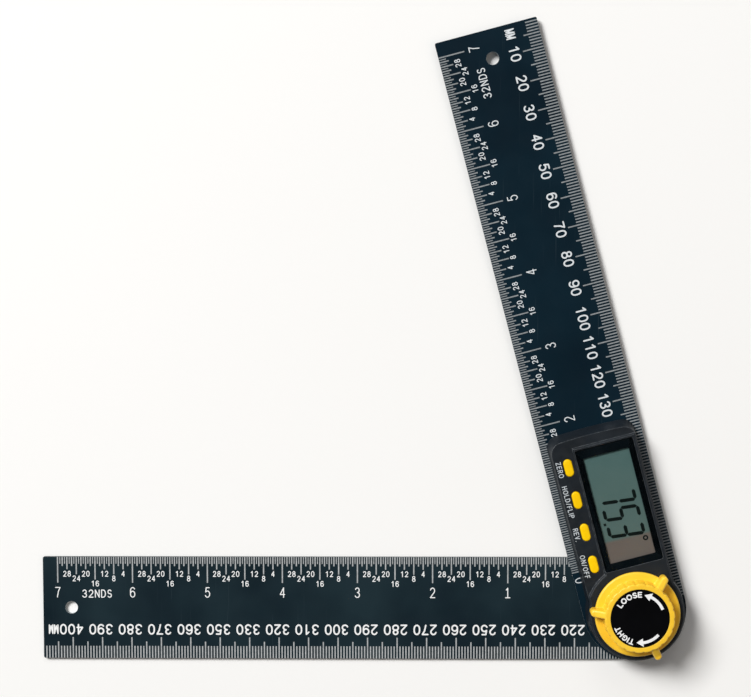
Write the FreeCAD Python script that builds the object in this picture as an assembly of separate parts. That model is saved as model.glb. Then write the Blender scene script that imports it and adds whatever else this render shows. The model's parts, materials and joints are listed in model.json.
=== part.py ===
import FreeCAD, Part
import math
import os

# Digital angle finder: two pivoted steel rules, a read-out housing on one of them and a lock knob.
#
# Millimetres. The tool lies on its back: +Z is the direction that the scales and the read-out face.
# The origin is on the pivot axis, in the plane of the swing blade's back.
# The swing arm points along -X, and the display arm is opened OPENING_ANGLE away from it.
# Every piece is drawn on its own arm, with the pivot at the origin, the arm along +Y and its
# right-hand edge towards +X, and is then turned about the pivot to where the arm stands.

# ---- driving dimensions ----------------------------------------------------------------------

# Arms
OPENING_ANGLE = 75.3            # between the two arms, degrees
BLADE_WIDTH = 34.7
BLADE_LENGTH = 200.0            # pivot axis to square tip
SWING_BLADE_THICKNESS = 1.2
DISPLAY_BLADE_THICKNESS = 1.2
TIP_CORNER = 0.6                # radius of the two corners at a tip
HANGING_HOLE_RADIUS = 2.1
HANGING_HOLE_INSET = 9.6        # from the tip
BLADE_GAP = 0.3                 # slip washer between the blades

# Pivot
JOURNAL_RADIUS = 10.0           # hub where the display blade turns on it
RUNNING_CLEARANCE = 0.05        # radial, on every turning fit
JOURNAL_TOP_PLAY = 0.2          # hub groove above the display blade's face
RETAINING_RING_THICKNESS = 0.6
RETAINING_RING_DEPTH = 0.8      # groove depth
RETAINING_RING_WIDTH = 2.2      # radial
RETAINING_RING_GAP = 34.0       # opening of the ring, degrees
RING_LIP = 1.15                 # hub above the ring
ROTOR_SEAT_RADIUS = 5.6
ROTOR_THICKNESS = 0.6
ROTOR_EDGE = 0.2                # rotor inside the journal's radius
SLIP_WASHER_MARGIN = 0.85       # washer's edge inside the blade's round end

# Clamp
STUD_RADIUS = 3.0
STUD_THREAD_RADIUS = 2.5
STUD_FLAT = 2.4                 # distance of the two anti-turn flats from the axis
STUD_HEAD_RADIUS = 4.6
STUD_HEAD_HEIGHT = 1.5          # flush with the swing blade's back
FRICTION_WASHER_THICKNESS = 0.3
PIECE_CLEARANCE = 0.3           # between pieces that pass each other without guiding

# Screws
SCREW_RADIUS = 0.95
SCREW_HEAD_RADIUS = 1.9
HUB_SCREW_CIRCLE = 7.2
HUB_SCREW_COUNT = 3
HUB_SCREW_LENGTH = 4.2
HOUSING_SCREW_LENGTH = 5.0
SLOT_WIDTH = 0.5
SLOT_DEPTH = 0.4

# Housing
HOUSING_REACH = 63.9            # pivot axis to far edge, at the blade
HOUSING_SIDE_ROOM = 1.5         # between the battery cradle and the side wall's foot
HOUSING_END_MARGIN = 1.6        # round end about the pivot, beyond the half width
HOUSING_CORNER = 4.0
HOUSING_BOW = 0.3               # crown of the far edge
HOUSING_DRAFT = 0.7             # side walls lean in by this over the full height
HOUSING_RAMP = 2.0              # far end leans in by this over the full height
HOUSING_WALL = 1.4
STRIP_ROOF = 1.2                # roof over the buttons' flanges
STRIP_WIDTH = 7.8               # button strip, beside the platform
PLATFORM_STEP = 0.7             # platform above the button strip
PLATFORM_SETBACK = 4.9          # platform's far edge inside the housing's reach
PLATFORM_PIVOT_MARGIN = 0.4     # platform's round end, beyond the housing's
PLATFORM_CHAMFER = 0.5
BOSS_RADIUS = 1.9
NEAR_BOSS_MARGIN = 3.8          # from the housing's side to a boss's centre
NEAR_BOSS_ALONG = 9.0
FAR_BOSS_MARGIN = 4.6
FAR_BOSS_SETBACK = 3.9          # inside the housing's reach

# Read-out
WINDOW_SIDE_MARGIN = 2.0        # window's right edge inside the housing's side
WINDOW_STEP_MARGIN = 0.5        # window's left edge inside the platform's
WINDOW_NEAR = 15.9              # clear of the knob's ribs
WINDOW_SETBACK = 1.1            # window's far edge inside the platform's
WINDOW_CORNER = 0.7
WINDOW_THICKNESS = 1.0
WINDOW_RECESS = 0.1             # window's face below the platform
WINDOW_LEDGE = 0.8
WINDOW_FIT = 0.05
LCD_GLASS_THICKNESS = 0.7       # each of its two plates
LCD_CONTACT_LEDGE = 1.5
CONNECTOR_WIDTH = 1.1
CONNECTOR_END_GAP = 3.0

# Buttons
BUTTON_MARGIN = 5.1             # from the housing's side to the buttons' centres
BUTTON_SETBACK = 10.9           # farthest button inside the housing's reach
BUTTON_BOSS_MARGIN = 10.6       # nearest button beyond the near bosses
BUTTON_WIDTH = 2.9
BUTTON_LENGTH = 5.9
BUTTON_PROUD = 0.6
BUTTON_CROWN = 0.35             # bevel of its top edge
BUTTON_CLEARANCE = 0.15
BUTTON_FLANGE = 0.6             # flange beyond the cap
BUTTON_FLANGE_THICKNESS = 0.55
BUTTON_TRAVEL = 0.35
BUTTON_REST_GAP = 0.05          # left between a pressed button and its dome
DOME_RADIUS = 1.7
DOME_HEIGHT = 0.3

# Board and battery
BOARD_THICKNESS = 0.6
BOARD_FIT = 0.3
BOARD_SCREW_RADIUS = 0.7
BOARD_SCREW_HEAD_RADIUS = 1.35
BOARD_SCREW_HEAD_HEIGHT = 0.6
BOARD_SCREW_LENGTH = 1.6        # under the head
BOARD_POST_RADIUS = 1.3
NEAR_POST_MARGIN = 5.1          # from the housing's side to a post's centre
NEAR_POST_ALONG = 13.2
FAR_POST_SETBACK = 4.1
CHIP_SIDE = 6.0
CHIP_THICKNESS = 0.9
CHIP_FROM_CELL = 20.0           # between their centres
CELL_RADIUS = 10.0
CELL_THICKNESS = 3.2
CELL_SETBACK = 20.9             # centre, inside the housing's reach
CELL_FIT = 0.3                  # round the cell's can
CELL_CAP_MARGIN = 1.0           # raised cap on the board's side, inside the can's edge
CELL_CAP_HEIGHT = 0.3
CELL_FLOOR_GAP = 0.05
CONTACT_THICKNESS = 0.15
CONTACT_HEIGHT = 0.4            # room for the spring contact over the cell
CONTACT_WIDTH = 3.0
CONTACT_LENGTH = 12.0
CLIP_SPAN = 56.0                # degrees of the cell's rim
CRADLE_WALL = 1.8
COVER_PLATE = 0.7
COVER_RIM_WALL = 0.65
COVER_CLEARANCE = 0.15
COVER_RIM_TOP = 0.6             # rim above the display blade's face
LUG_REACH = 1.05
LUG_SPAN = 20.0                 # degrees
LUG_NOTCH_SPAN = 26.0
LUG_PLAY = 0.05
LUG_COUNT = 3
COVER_TURN = 45.0               # from locked to the notches
COIN_SLOT_WIDTH = 1.6
COIN_SLOT_LENGTH = 13.0
COIN_SLOT_DEPTH = 0.4

# Knob
THRUST_WASHER_THICKNESS = 0.2
THRUST_WASHER_RADIUS = 7.5
FLANGE_WIDTH = 2.7              # beyond the collar
FLANGE_THICKNESS = 1.4
COLLAR_RADIUS = 11.5
COLLAR_WALL = 1.75              # round the cap
COLLAR_HEIGHT = 7.6             # from the knob's underside to its top edge
COLLAR_CROWN = 0.6
SCALLOP_COUNT = 22
SCALLOP_RADIUS = 0.9
SCALLOP_DEPTH = 0.25
RIB_COUNT = 3
RIB_ANGLE = 41.0
RIB_WIDTH = 2.5
RIB_OVERHANG = 1.7              # beyond the flange
RIB_TIP_HEIGHT = 3.5
RIB_ROUND = 0.7
CAP_THICKNESS = 1.0
CAP_RECESS = 0.2
CAP_SKIRT = 1.6
CAP_SKIRT_WALL = 0.8
KNOB_BOSS_RADIUS = 6.2
INSERT_RADIUS = 4.2
INSERT_BASE = 0.4
INSERT_LENGTH = 4.8

# ---- levels worked out from them -------------------------------------------------------------

SWING_FACE = SWING_BLADE_THICKNESS
DISPLAY_BACK = SWING_FACE + BLADE_GAP
DISPLAY_FACE = DISPLAY_BACK + DISPLAY_BLADE_THICKNESS
CELL_BOTTOM = DISPLAY_BACK + COVER_PLATE + CELL_FLOOR_GAP
CELL_TOP = CELL_BOTTOM + CELL_THICKNESS
BOARD_BOTTOM = CELL_TOP + CONTACT_HEIGHT
BOARD_TOP = BOARD_BOTTOM + BOARD_THICKNESS
FLANGE_BOTTOM = BOARD_TOP + DOME_HEIGHT + BUTTON_TRAVEL + BUTTON_REST_GAP
ROOF_UNDERSIDE = FLANGE_BOTTOM + BUTTON_FLANGE_THICKNESS
STRIP_TOP = ROOF_UNDERSIDE + STRIP_ROOF
PLATFORM_TOP = STRIP_TOP + PLATFORM_STEP
HOUSING_HEIGHT = PLATFORM_TOP - DISPLAY_FACE
COVER_RIM_LEVEL = DISPLAY_FACE + COVER_RIM_TOP
CRADLE_BOTTOM = COVER_RIM_LEVEL + PIECE_CLEARANCE

WINDOW_TOP = PLATFORM_TOP - WINDOW_RECESS
WINDOW_BOTTOM = WINDOW_TOP - WINDOW_THICKNESS
FRONT_GLASS_BOTTOM = WINDOW_BOTTOM - LCD_GLASS_THICKNESS
REAR_GLASS_BOTTOM = FRONT_GLASS_BOTTOM - LCD_GLASS_THICKNESS

HUB_RECESS_TOP = STUD_HEAD_HEIGHT + FRICTION_WASHER_THICKNESS
HEAD_HOLE_RADIUS = STUD_HEAD_RADIUS + PIECE_CLEARANCE
GROOVE_BOTTOM = DISPLAY_FACE + JOURNAL_TOP_PLAY
GROOVE_TOP = GROOVE_BOTTOM + RETAINING_RING_THICKNESS
GROOVE_RADIUS = JOURNAL_RADIUS - RETAINING_RING_DEPTH
ROTOR_BOTTOM = GROOVE_TOP + RING_LIP
ROTOR_TOP = ROTOR_BOTTOM + ROTOR_THICKNESS

KNOB_UNDERSIDE = PLATFORM_TOP + THRUST_WASHER_THICKNESS
FLANGE_TOP = KNOB_UNDERSIDE + FLANGE_THICKNESS
COLLAR_TOP = KNOB_UNDERSIDE + COLLAR_HEIGHT
CAP_TOP = COLLAR_TOP - CAP_RECESS
CAP_SEAT = CAP_TOP - CAP_THICKNESS
INSERT_BOTTOM = KNOB_UNDERSIDE + INSERT_BASE
INSERT_TOP = INSERT_BOTTOM + INSERT_LENGTH

# ---- plan places worked out from them, on the display arm ------------------------------------

CELL_ALONG = HOUSING_REACH - CELL_SETBACK
CELL_POCKET_RADIUS = CELL_RADIUS + CELL_FIT
CRADLE_RADIUS = CELL_POCKET_RADIUS + CRADLE_WALL
COVER_RIM_RADIUS = CELL_POCKET_RADIUS + COVER_RIM_WALL
CHIP_ALONG = CELL_ALONG - CHIP_FROM_CELL

HOUSING_HALF_WIDTH = CRADLE_RADIUS + HOUSING_SIDE_ROOM + HOUSING_WALL
HOUSING_END_RADIUS = HOUSING_HALF_WIDTH + HOUSING_END_MARGIN
PLATFORM_EDGE = STRIP_WIDTH - HOUSING_HALF_WIDTH
PLATFORM_END = HOUSING_REACH - PLATFORM_SETBACK
PLATFORM_PIVOT_RADIUS = HOUSING_END_RADIUS + PLATFORM_PIVOT_MARGIN
WINDOW_LEFT = PLATFORM_EDGE + WINDOW_STEP_MARGIN
WINDOW_RIGHT = HOUSING_HALF_WIDTH - WINDOW_SIDE_MARGIN
WINDOW_FAR = PLATFORM_END - WINDOW_SETBACK

CAP_RADIUS = COLLAR_RADIUS - COLLAR_WALL
FLANGE_RADIUS = COLLAR_RADIUS + FLANGE_WIDTH
RIB_REACH = FLANGE_RADIUS + RIB_OVERHANG

BUTTON_ACROSS = BUTTON_MARGIN - HOUSING_HALF_WIDTH
BUTTON_NAMES = ("zero_button", "hold_button", "reverse_button", "power_button")
NEAREST_BUTTON = NEAR_BOSS_ALONG + BUTTON_BOSS_MARGIN
FARTHEST_BUTTON = HOUSING_REACH - BUTTON_SETBACK
BUTTON_PITCH = (FARTHEST_BUTTON - NEAREST_BUTTON) / (len(BUTTON_NAMES) - 1)
BUTTON_CENTRES = [FARTHEST_BUTTON - BUTTON_PITCH * place for place in range(len(BUTTON_NAMES))]
BOSS_CENTRES = [
    (side * (HOUSING_HALF_WIDTH - margin), along)
    for margin, along in (
        (NEAR_BOSS_MARGIN, NEAR_BOSS_ALONG),
        (FAR_BOSS_MARGIN, HOUSING_REACH - FAR_BOSS_SETBACK),
    )
    for side in (-1, 1)
]
POST_CENTRES = [
    (NEAR_POST_MARGIN - HOUSING_HALF_WIDTH, NEAR_POST_ALONG),
    (HOUSING_HALF_WIDTH - NEAR_POST_MARGIN, NEAR_POST_ALONG),
    (0.0, HOUSING_REACH - FAR_POST_SETBACK),
]
HUB_SCREW_CENTRES = [
    (
        HUB_SCREW_CIRCLE * math.cos(2 * math.pi * place / HUB_SCREW_COUNT),
        HUB_SCREW_CIRCLE * math.sin(2 * math.pi * place / HUB_SCREW_COUNT),
    )
    for place in range(HUB_SCREW_COUNT)
]

DISPLAY_ARM_TURN = 90.0 - OPENING_ANGLE
SWING_ARM_TURN = 90.0


# ---- shared shapes ---------------------------------------------------------------------------

def point(across, along, level=0.0):
    return FreeCAD.Vector(across, along, level)


def disc(radius, low, high, centre=(0.0, 0.0)):
    return Part.makeCylinder(radius, high - low, point(*centre, low))


def ring(inner, outer, low, high, centre=(0.0, 0.0)):
    return disc(outer, low, high, centre).cut(disc(inner, low, high, centre))


def block(left, right, near, far, low, high):
    return Part.makeBox(right - left, far - near, high - low, point(left, near, low))


def turned(profile):
    """Solid turned about the pivot axis from (radius, level) corners."""
    corners = [FreeCAD.Vector(radius, 0, level) for radius, level in profile]
    outline = Part.makePolygon(corners + corners[:1])
    return Part.Face(outline).revolve(point(0, 0), FreeCAD.Vector(0, 0, 1), 360)


def prism(edges, low, high):
    face = Part.Face(Part.Wire(edges))
    face.translate(point(0, 0, low))
    return face.extrude(point(0, 0, high - low))


def line(start, end):
    return Part.LineSegment(start, end).toShape()


def arc(start, middle, end):
    return Part.Arc(start, middle, end).toShape()


def stadium(width, length, low, high, centre):
    """Slot shape along the arm with round ends."""
    radius = width / 2
    straight = length / 2 - radius
    across, along = centre
    left, right = across - radius, across + radius
    near, far = along - straight, along + straight
    edges = [
        line(point(left, far), point(left, near)),
        arc(point(left, near), point(across, near - radius), point(right, near)),
        line(point(right, near), point(right, far)),
        arc(point(right, far), point(across, far + radius), point(left, far)),
    ]
    return prism(edges, low, high)


def sector(inner, outer, middle_angle, span, low, high, centre=(0.0, 0.0)):
    """Part of a ring, span degrees wide about middle_angle."""
    def at(radius, angle):
        turn = math.radians(angle)
        return point(centre[0] + radius * math.cos(turn), centre[1] + radius * math.sin(turn))

    first, last = middle_angle - span / 2, middle_angle + span / 2
    edges = [
        arc(at(outer, first), at(outer, middle_angle), at(outer, last)),
        line(at(outer, last), at(inner, last)),
        arc(at(inner, last), at(inner, middle_angle), at(inner, first)),
        line(at(inner, first), at(outer, first)),
    ]
    return prism(edges, low, high)


def rounded_block(left, right, near, far, corner, low, high):
    body = block(left, right, near, far, low, high)
    upright = [edge for edge in body.Edges if abs(edge.BoundBox.ZLength - (high - low)) < 1e-6]
    return body.makeFillet(corner, upright)


def countersunk_screw(low, length, centre):
    """Flat-head screw pointing up, its head's face at low."""
    cone = SCREW_HEAD_RADIUS - SCREW_RADIUS
    body = turned([
        (0, low),
        (SCREW_HEAD_RADIUS, low),
        (SCREW_RADIUS, low + cone),
        (SCREW_RADIUS, low + length),
        (0, low + length),
    ])
    half = SLOT_WIDTH / 2
    slot = block(-SCREW_HEAD_RADIUS, SCREW_HEAD_RADIUS, -half, half, low, low + SLOT_DEPTH)
    body = body.cut(slot)
    body.translate(point(*centre))
    return body


def countersunk_hole(low, high, centre):
    """Clearance hole for a countersunk screw whose head is seated at low."""
    cone = SCREW_HEAD_RADIUS - SCREW_RADIUS
    through = SCREW_RADIUS + RUNNING_CLEARANCE
    hole = turned([
        (0, low),
        (SCREW_HEAD_RADIUS, low),
        (through, low + cone - RUNNING_CLEARANCE),
        (through, high),
        (0, high),
    ])
    hole.translate(point(*centre))
    return hole


def tapped_hole(low, high, centre):
    return disc(SCREW_RADIUS + RUNNING_CLEARANCE, low, high, centre)


# ---- the two arms ----------------------------------------------------------------------------

def blade_plate(low, high):
    """Rule with a round end about the pivot, a square tip and a hanging hole."""
    half = BLADE_WIDTH / 2
    shoulder = BLADE_LENGTH - TIP_CORNER
    bevel = TIP_CORNER * (1 - math.sqrt(0.5))
    edges = [
        arc(point(-half, 0), point(0, -half), point(half, 0)),
        line(point(half, 0), point(half, shoulder)),
        arc(
            point(half, shoulder),
            point(half - bevel, BLADE_LENGTH - bevel),
            point(half - TIP_CORNER, BLADE_LENGTH),
        ),
        line(point(half - TIP_CORNER, BLADE_LENGTH), point(TIP_CORNER - half, BLADE_LENGTH)),
        arc(
            point(TIP_CORNER - half, BLADE_LENGTH),
            point(bevel - half, BLADE_LENGTH - bevel),
            point(-half, shoulder),
        ),
        line(point(-half, shoulder), point(-half, 0)),
    ]
    hanging_hole = (0.0, BLADE_LENGTH - HANGING_HOLE_INSET)
    return prism(edges, low, high).cut(disc(HANGING_HOLE_RADIUS, low, high, hanging_hole))


def swing_blade():
    blade = blade_plate(0, SWING_FACE)
    blade = blade.cut(disc(HEAD_HOLE_RADIUS, 0, SWING_FACE))
    for centre in HUB_SCREW_CENTRES:
        blade = blade.cut(countersunk_hole(0, SWING_FACE, centre))
    return blade


def display_blade():
    blade = blade_plate(DISPLAY_BACK, DISPLAY_FACE)
    blade = blade.cut(disc(JOURNAL_RADIUS + RUNNING_CLEARANCE, DISPLAY_BACK, DISPLAY_FACE))
    for centre in BOSS_CENTRES:
        blade = blade.cut(countersunk_hole(DISPLAY_BACK, DISPLAY_FACE, centre))
    cell = (0.0, CELL_ALONG)
    doorway = COVER_RIM_RADIUS + COVER_CLEARANCE
    blade = blade.cut(disc(doorway, DISPLAY_BACK, DISPLAY_FACE, cell))
    for angle in lug_angles():
        blade = blade.cut(sector(
            COVER_RIM_RADIUS - COVER_CLEARANCE,
            COVER_RIM_RADIUS + LUG_REACH + COVER_CLEARANCE,
            angle - COVER_TURN, LUG_NOTCH_SPAN, DISPLAY_BACK, DISPLAY_FACE, cell,
        ))
    return blade


# ---- the pivot and its clamp -----------------------------------------------------------------

def pivot_hub():
    """Hub screwed to the swing blade; the display blade turns on its journal."""
    bore = STUD_RADIUS + RUNNING_CLEARANCE
    hub = turned([
        (HEAD_HOLE_RADIUS, SWING_FACE),
        (JOURNAL_RADIUS, SWING_FACE),
        (JOURNAL_RADIUS, GROOVE_BOTTOM),
        (GROOVE_RADIUS, GROOVE_BOTTOM),
        (GROOVE_RADIUS, GROOVE_TOP),
        (JOURNAL_RADIUS, GROOVE_TOP),
        (JOURNAL_RADIUS, ROTOR_BOTTOM),
        (ROTOR_SEAT_RADIUS, ROTOR_BOTTOM),
        (ROTOR_SEAT_RADIUS, ROTOR_TOP),
        (bore, ROTOR_TOP),
        (bore, HUB_RECESS_TOP),
        (HEAD_HOLE_RADIUS, HUB_RECESS_TOP),
    ])
    for centre in HUB_SCREW_CENTRES:
        hub = hub.cut(tapped_hole(SWING_FACE, HUB_SCREW_LENGTH, centre))
    return hub


def hub_screws():
    return [countersunk_screw(0, HUB_SCREW_LENGTH, centre) for centre in HUB_SCREW_CENTRES]


def slip_washer():
    inner = JOURNAL_RADIUS + PIECE_CLEARANCE
    outer = BLADE_WIDTH / 2 - SLIP_WASHER_MARGIN
    return ring(inner, outer, SWING_FACE, DISPLAY_BACK)


def retaining_ring():
    """Open ring sprung into the hub's groove, over the display blade."""
    outer = GROOVE_RADIUS + RETAINING_RING_WIDTH
    body = ring(GROOVE_RADIUS, outer, GROOVE_BOTTOM, GROOVE_TOP)
    opening = sector(
        GROOVE_RADIUS / 2, outer * 2, 90, RETAINING_RING_GAP, GROOVE_BOTTOM, GROOVE_TOP,
    )
    return body.cut(opening)


def encoder_rotor():
    return ring(ROTOR_SEAT_RADIUS, JOURNAL_RADIUS - ROTOR_EDGE, ROTOR_BOTTOM, ROTOR_TOP)


def flatted_bar(radius, flat, low, high):
    """Round bar with a flat on either side."""
    return disc(radius, low, high).common(block(-flat, flat, -radius, radius, low, high))


def clamp_stud():
    """Stud with a low head under the hub, a shank through it and flats held by the housing."""
    shank_top = ROOF_UNDERSIDE
    body = disc(STUD_HEAD_RADIUS, 0, STUD_HEAD_HEIGHT)
    body = body.fuse(disc(STUD_RADIUS, STUD_HEAD_HEIGHT, shank_top))
    body = body.fuse(flatted_bar(STUD_RADIUS, STUD_FLAT, shank_top, PLATFORM_TOP))
    return body.fuse(disc(STUD_THREAD_RADIUS, PLATFORM_TOP, INSERT_TOP)).removeSplitter()


def friction_washer():
    inner = STUD_RADIUS + PIECE_CLEARANCE
    return ring(inner, STUD_HEAD_RADIUS, STUD_HEAD_HEIGHT, HUB_RECESS_TOP)


def thrust_washer():
    return ring(STUD_RADIUS + PIECE_CLEARANCE, THRUST_WASHER_RADIUS, PLATFORM_TOP, KNOB_UNDERSIDE)


# ---- the housing -----------------------------------------------------------------------------

def housing_outline(side_inset, end_inset, level):
    """Outline with a round end about the pivot and a slightly crowned far end."""
    half = HOUSING_HALF_WIDTH - side_inset
    end_radius = HOUSING_END_RADIUS - side_inset
    reach = HOUSING_REACH - end_inset
    start = math.sqrt(end_radius ** 2 - half ** 2)
    shoulder = reach - HOUSING_BOW
    corner = HOUSING_CORNER
    bevel = corner * (1 - math.sqrt(0.5))
    edges = [
        arc(point(-half, start), point(0, -end_radius), point(half, start)),
        line(point(half, start), point(half, shoulder - corner)),
        arc(
            point(half, shoulder - corner),
            point(half - bevel, shoulder - bevel),
            point(half - corner, shoulder),
        ),
        arc(point(half - corner, shoulder), point(0, reach), point(corner - half, shoulder)),
        arc(
            point(corner - half, shoulder),
            point(bevel - half, shoulder - bevel),
            point(-half, shoulder - corner),
        ),
        line(point(-half, shoulder - corner), point(-half, start)),
    ]
    wire = Part.Wire(edges)
    wire.translate(point(0, 0, level))
    return wire


def housing_loft(inset, low, high):
    """Drafted body between two levels, inset from the housing's outer faces."""
    def at(level):
        share = (level - DISPLAY_FACE) / HOUSING_HEIGHT
        return housing_outline(inset + HOUSING_DRAFT * share, inset + HOUSING_RAMP * share, level)

    return Part.makeLoft([at(low), at(high)], True, True)


def platform_plan(low, high):
    """The raised area: the read-out's rectangle joined to a disc about the pivot."""
    right = HOUSING_HALF_WIDTH * 2
    area = block(PLATFORM_EDGE, right, 0, PLATFORM_END, low, high)
    return area.fuse(disc(PLATFORM_PIVOT_RADIUS, low, high)).removeSplitter()


def top_edges(body, level):
    return [
        edge for edge in body.Edges
        if abs(edge.BoundBox.ZMin - level) < 1e-4 and abs(edge.BoundBox.ZMax - level) < 1e-4
    ]


def housing_shell():
    """Outer form with the lower button strip and chamfered edges, hollow from below."""
    body = housing_loft(0, DISPLAY_FACE, PLATFORM_TOP)
    above = block(
        -HOUSING_HALF_WIDTH * 2, HOUSING_HALF_WIDTH * 2,
        -HOUSING_END_RADIUS * 2, HOUSING_REACH * 2,
        STRIP_TOP, PLATFORM_TOP * 2,
    )
    body = body.cut(above.cut(platform_plan(STRIP_TOP, PLATFORM_TOP * 2)))
    body = body.makeChamfer(PLATFORM_CHAMFER, top_edges(body, PLATFORM_TOP))
    return body.cut(housing_loft(HOUSING_WALL, DISPLAY_FACE, ROOF_UNDERSIDE))


def housing():
    outer = housing_loft(0, DISPLAY_FACE, ROOF_UNDERSIDE)
    body = housing_shell()
    for centre in BOSS_CENTRES:
        body = body.fuse(disc(BOSS_RADIUS, DISPLAY_FACE, ROOF_UNDERSIDE, centre).common(outer))
    for centre in POST_CENTRES:
        body = body.fuse(disc(BOARD_POST_RADIUS, BOARD_TOP, ROOF_UNDERSIDE, centre))
    for centre in BOSS_CENTRES:
        body = body.cut(tapped_hole(DISPLAY_FACE, DISPLAY_BACK + HOUSING_SCREW_LENGTH, centre))
    for centre in POST_CENTRES:
        depth = BOARD_BOTTOM + BOARD_SCREW_LENGTH
        body = body.cut(disc(BOARD_SCREW_RADIUS + RUNNING_CLEARANCE, BOARD_TOP, depth, centre))
    body = body.cut(rounded_block(
        WINDOW_LEFT - WINDOW_FIT, WINDOW_RIGHT + WINDOW_FIT,
        WINDOW_NEAR - WINDOW_FIT, WINDOW_FAR + WINDOW_FIT,
        WINDOW_CORNER + WINDOW_FIT, WINDOW_BOTTOM, PLATFORM_TOP,
    ))
    body = body.cut(block(
        WINDOW_LEFT + WINDOW_LEDGE, WINDOW_RIGHT - WINDOW_LEDGE,
        WINDOW_NEAR + WINDOW_LEDGE, WINDOW_FAR - WINDOW_LEDGE,
        ROOF_UNDERSIDE, WINDOW_BOTTOM,
    ))
    for along in BUTTON_CENTRES:
        body = body.cut(stadium(
            BUTTON_WIDTH + 2 * BUTTON_CLEARANCE, BUTTON_LENGTH + 2 * BUTTON_CLEARANCE,
            ROOF_UNDERSIDE, STRIP_TOP, (BUTTON_ACROSS, along),
        ))
    key = RUNNING_CLEARANCE
    return body.cut(flatted_bar(
        STUD_RADIUS + key, STUD_FLAT + key, ROOF_UNDERSIDE, PLATFORM_TOP,
    ))


def housing_screws():
    return [countersunk_screw(DISPLAY_BACK, HOUSING_SCREW_LENGTH, centre) for centre in BOSS_CENTRES]


# ---- the read-out ----------------------------------------------------------------------------

def display_window():
    return rounded_block(
        WINDOW_LEFT, WINDOW_RIGHT, WINDOW_NEAR, WINDOW_FAR,
        WINDOW_CORNER, WINDOW_BOTTOM, WINDOW_TOP,
    )


def glass_limits(inset):
    """Left, right, near and far limits of the display glass."""
    margin = WINDOW_LEDGE + BOARD_FIT + inset
    return (
        WINDOW_LEFT + margin, WINDOW_RIGHT - margin,
        WINDOW_NEAR + margin - inset, WINDOW_FAR - margin + inset,
    )


def lcd_panel():
    """Wide front glass with contact ledges along both sides of the rear glass."""
    front = block(*glass_limits(0), FRONT_GLASS_BOTTOM, WINDOW_BOTTOM)
    rear = block(*glass_limits(LCD_CONTACT_LEDGE), REAR_GLASS_BOTTOM, FRONT_GLASS_BOTTOM)
    return front.fuse(rear)


def display_connectors():
    """Rubber connector bars between the board and the front glass."""
    left, right, near, far = glass_limits(0)
    ends = (near + CONNECTOR_END_GAP, far - CONNECTOR_END_GAP)
    return [
        block(left, left + CONNECTOR_WIDTH, *ends, BOARD_TOP, FRONT_GLASS_BOTTOM),
        block(right - CONNECTOR_WIDTH, right, *ends, BOARD_TOP, FRONT_GLASS_BOTTOM),
    ]


# ---- buttons ---------------------------------------------------------------------------------

def button(along):
    """Cap with a bevelled top edge, through the roof, on a flange that stops against it."""
    centre = (BUTTON_ACROSS, along)
    top = STRIP_TOP + BUTTON_PROUD
    cap = stadium(BUTTON_WIDTH, BUTTON_LENGTH, ROOF_UNDERSIDE, top, centre)
    cap = cap.makeChamfer(BUTTON_CROWN, top_edges(cap, top))
    flange = stadium(
        BUTTON_WIDTH + 2 * BUTTON_FLANGE, BUTTON_LENGTH + 2 * BUTTON_FLANGE,
        FLANGE_BOTTOM, ROOF_UNDERSIDE, centre,
    )
    return cap.fuse(flange)


def dome_switches():
    domes = []
    for along in BUTTON_CENTRES:
        sphere_radius = (DOME_RADIUS ** 2 + DOME_HEIGHT ** 2) / (2 * DOME_HEIGHT)
        centre = point(BUTTON_ACROSS, along, BOARD_TOP + DOME_HEIGHT - sphere_radius)
        ball = Part.makeSphere(sphere_radius, centre)
        domes.append(ball.common(
            disc(DOME_RADIUS, BOARD_TOP, BOARD_TOP + DOME_HEIGHT, (BUTTON_ACROSS, along)),
        ))
    return domes


# ---- board and battery -----------------------------------------------------------------------

def circuit_board():
    """Board that follows the housing's inside, notched round the screw bosses."""
    share = (BOARD_TOP - DISPLAY_FACE) / HOUSING_HEIGHT
    inset = HOUSING_WALL + BOARD_FIT
    outline = housing_outline(inset + HOUSING_DRAFT * share, inset + HOUSING_RAMP * share, 0)
    board = prism(outline.Edges, BOARD_BOTTOM, BOARD_TOP)
    board = board.cut(disc(ROTOR_SEAT_RADIUS, BOARD_BOTTOM, BOARD_TOP))
    for centre in BOSS_CENTRES:
        board = board.cut(disc(BOSS_RADIUS + BOARD_FIT, BOARD_BOTTOM, BOARD_TOP, centre))
    for centre in POST_CENTRES:
        hole = BOARD_SCREW_RADIUS + RUNNING_CLEARANCE
        board = board.cut(disc(hole, BOARD_BOTTOM, BOARD_TOP, centre))
    return board


def board_screws():
    """Pan-head screws from below, through the board into the roof's posts."""
    screws = []
    for centre in POST_CENTRES:
        head_bottom = BOARD_BOTTOM - BOARD_SCREW_HEAD_HEIGHT
        head = disc(BOARD_SCREW_HEAD_RADIUS, head_bottom, BOARD_BOTTOM, centre)
        shank = disc(BOARD_SCREW_RADIUS, BOARD_BOTTOM, BOARD_BOTTOM + BOARD_SCREW_LENGTH, centre)
        screws.append(head.fuse(shank))
    return screws


def controller_chip():
    half = CHIP_SIDE / 2
    return block(
        -half, half, CHIP_ALONG - half, CHIP_ALONG + half,
        BOARD_BOTTOM - CHIP_THICKNESS, BOARD_BOTTOM,
    )


def coin_cell():
    """Wide can with a narrower, slightly raised cap on the board's side."""
    can_top = CELL_TOP - CELL_CAP_HEIGHT
    cell = (0.0, CELL_ALONG)
    can = disc(CELL_RADIUS, CELL_BOTTOM, can_top, cell)
    return can.fuse(disc(CELL_RADIUS - CELL_CAP_MARGIN, can_top, CELL_TOP, cell))


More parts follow.
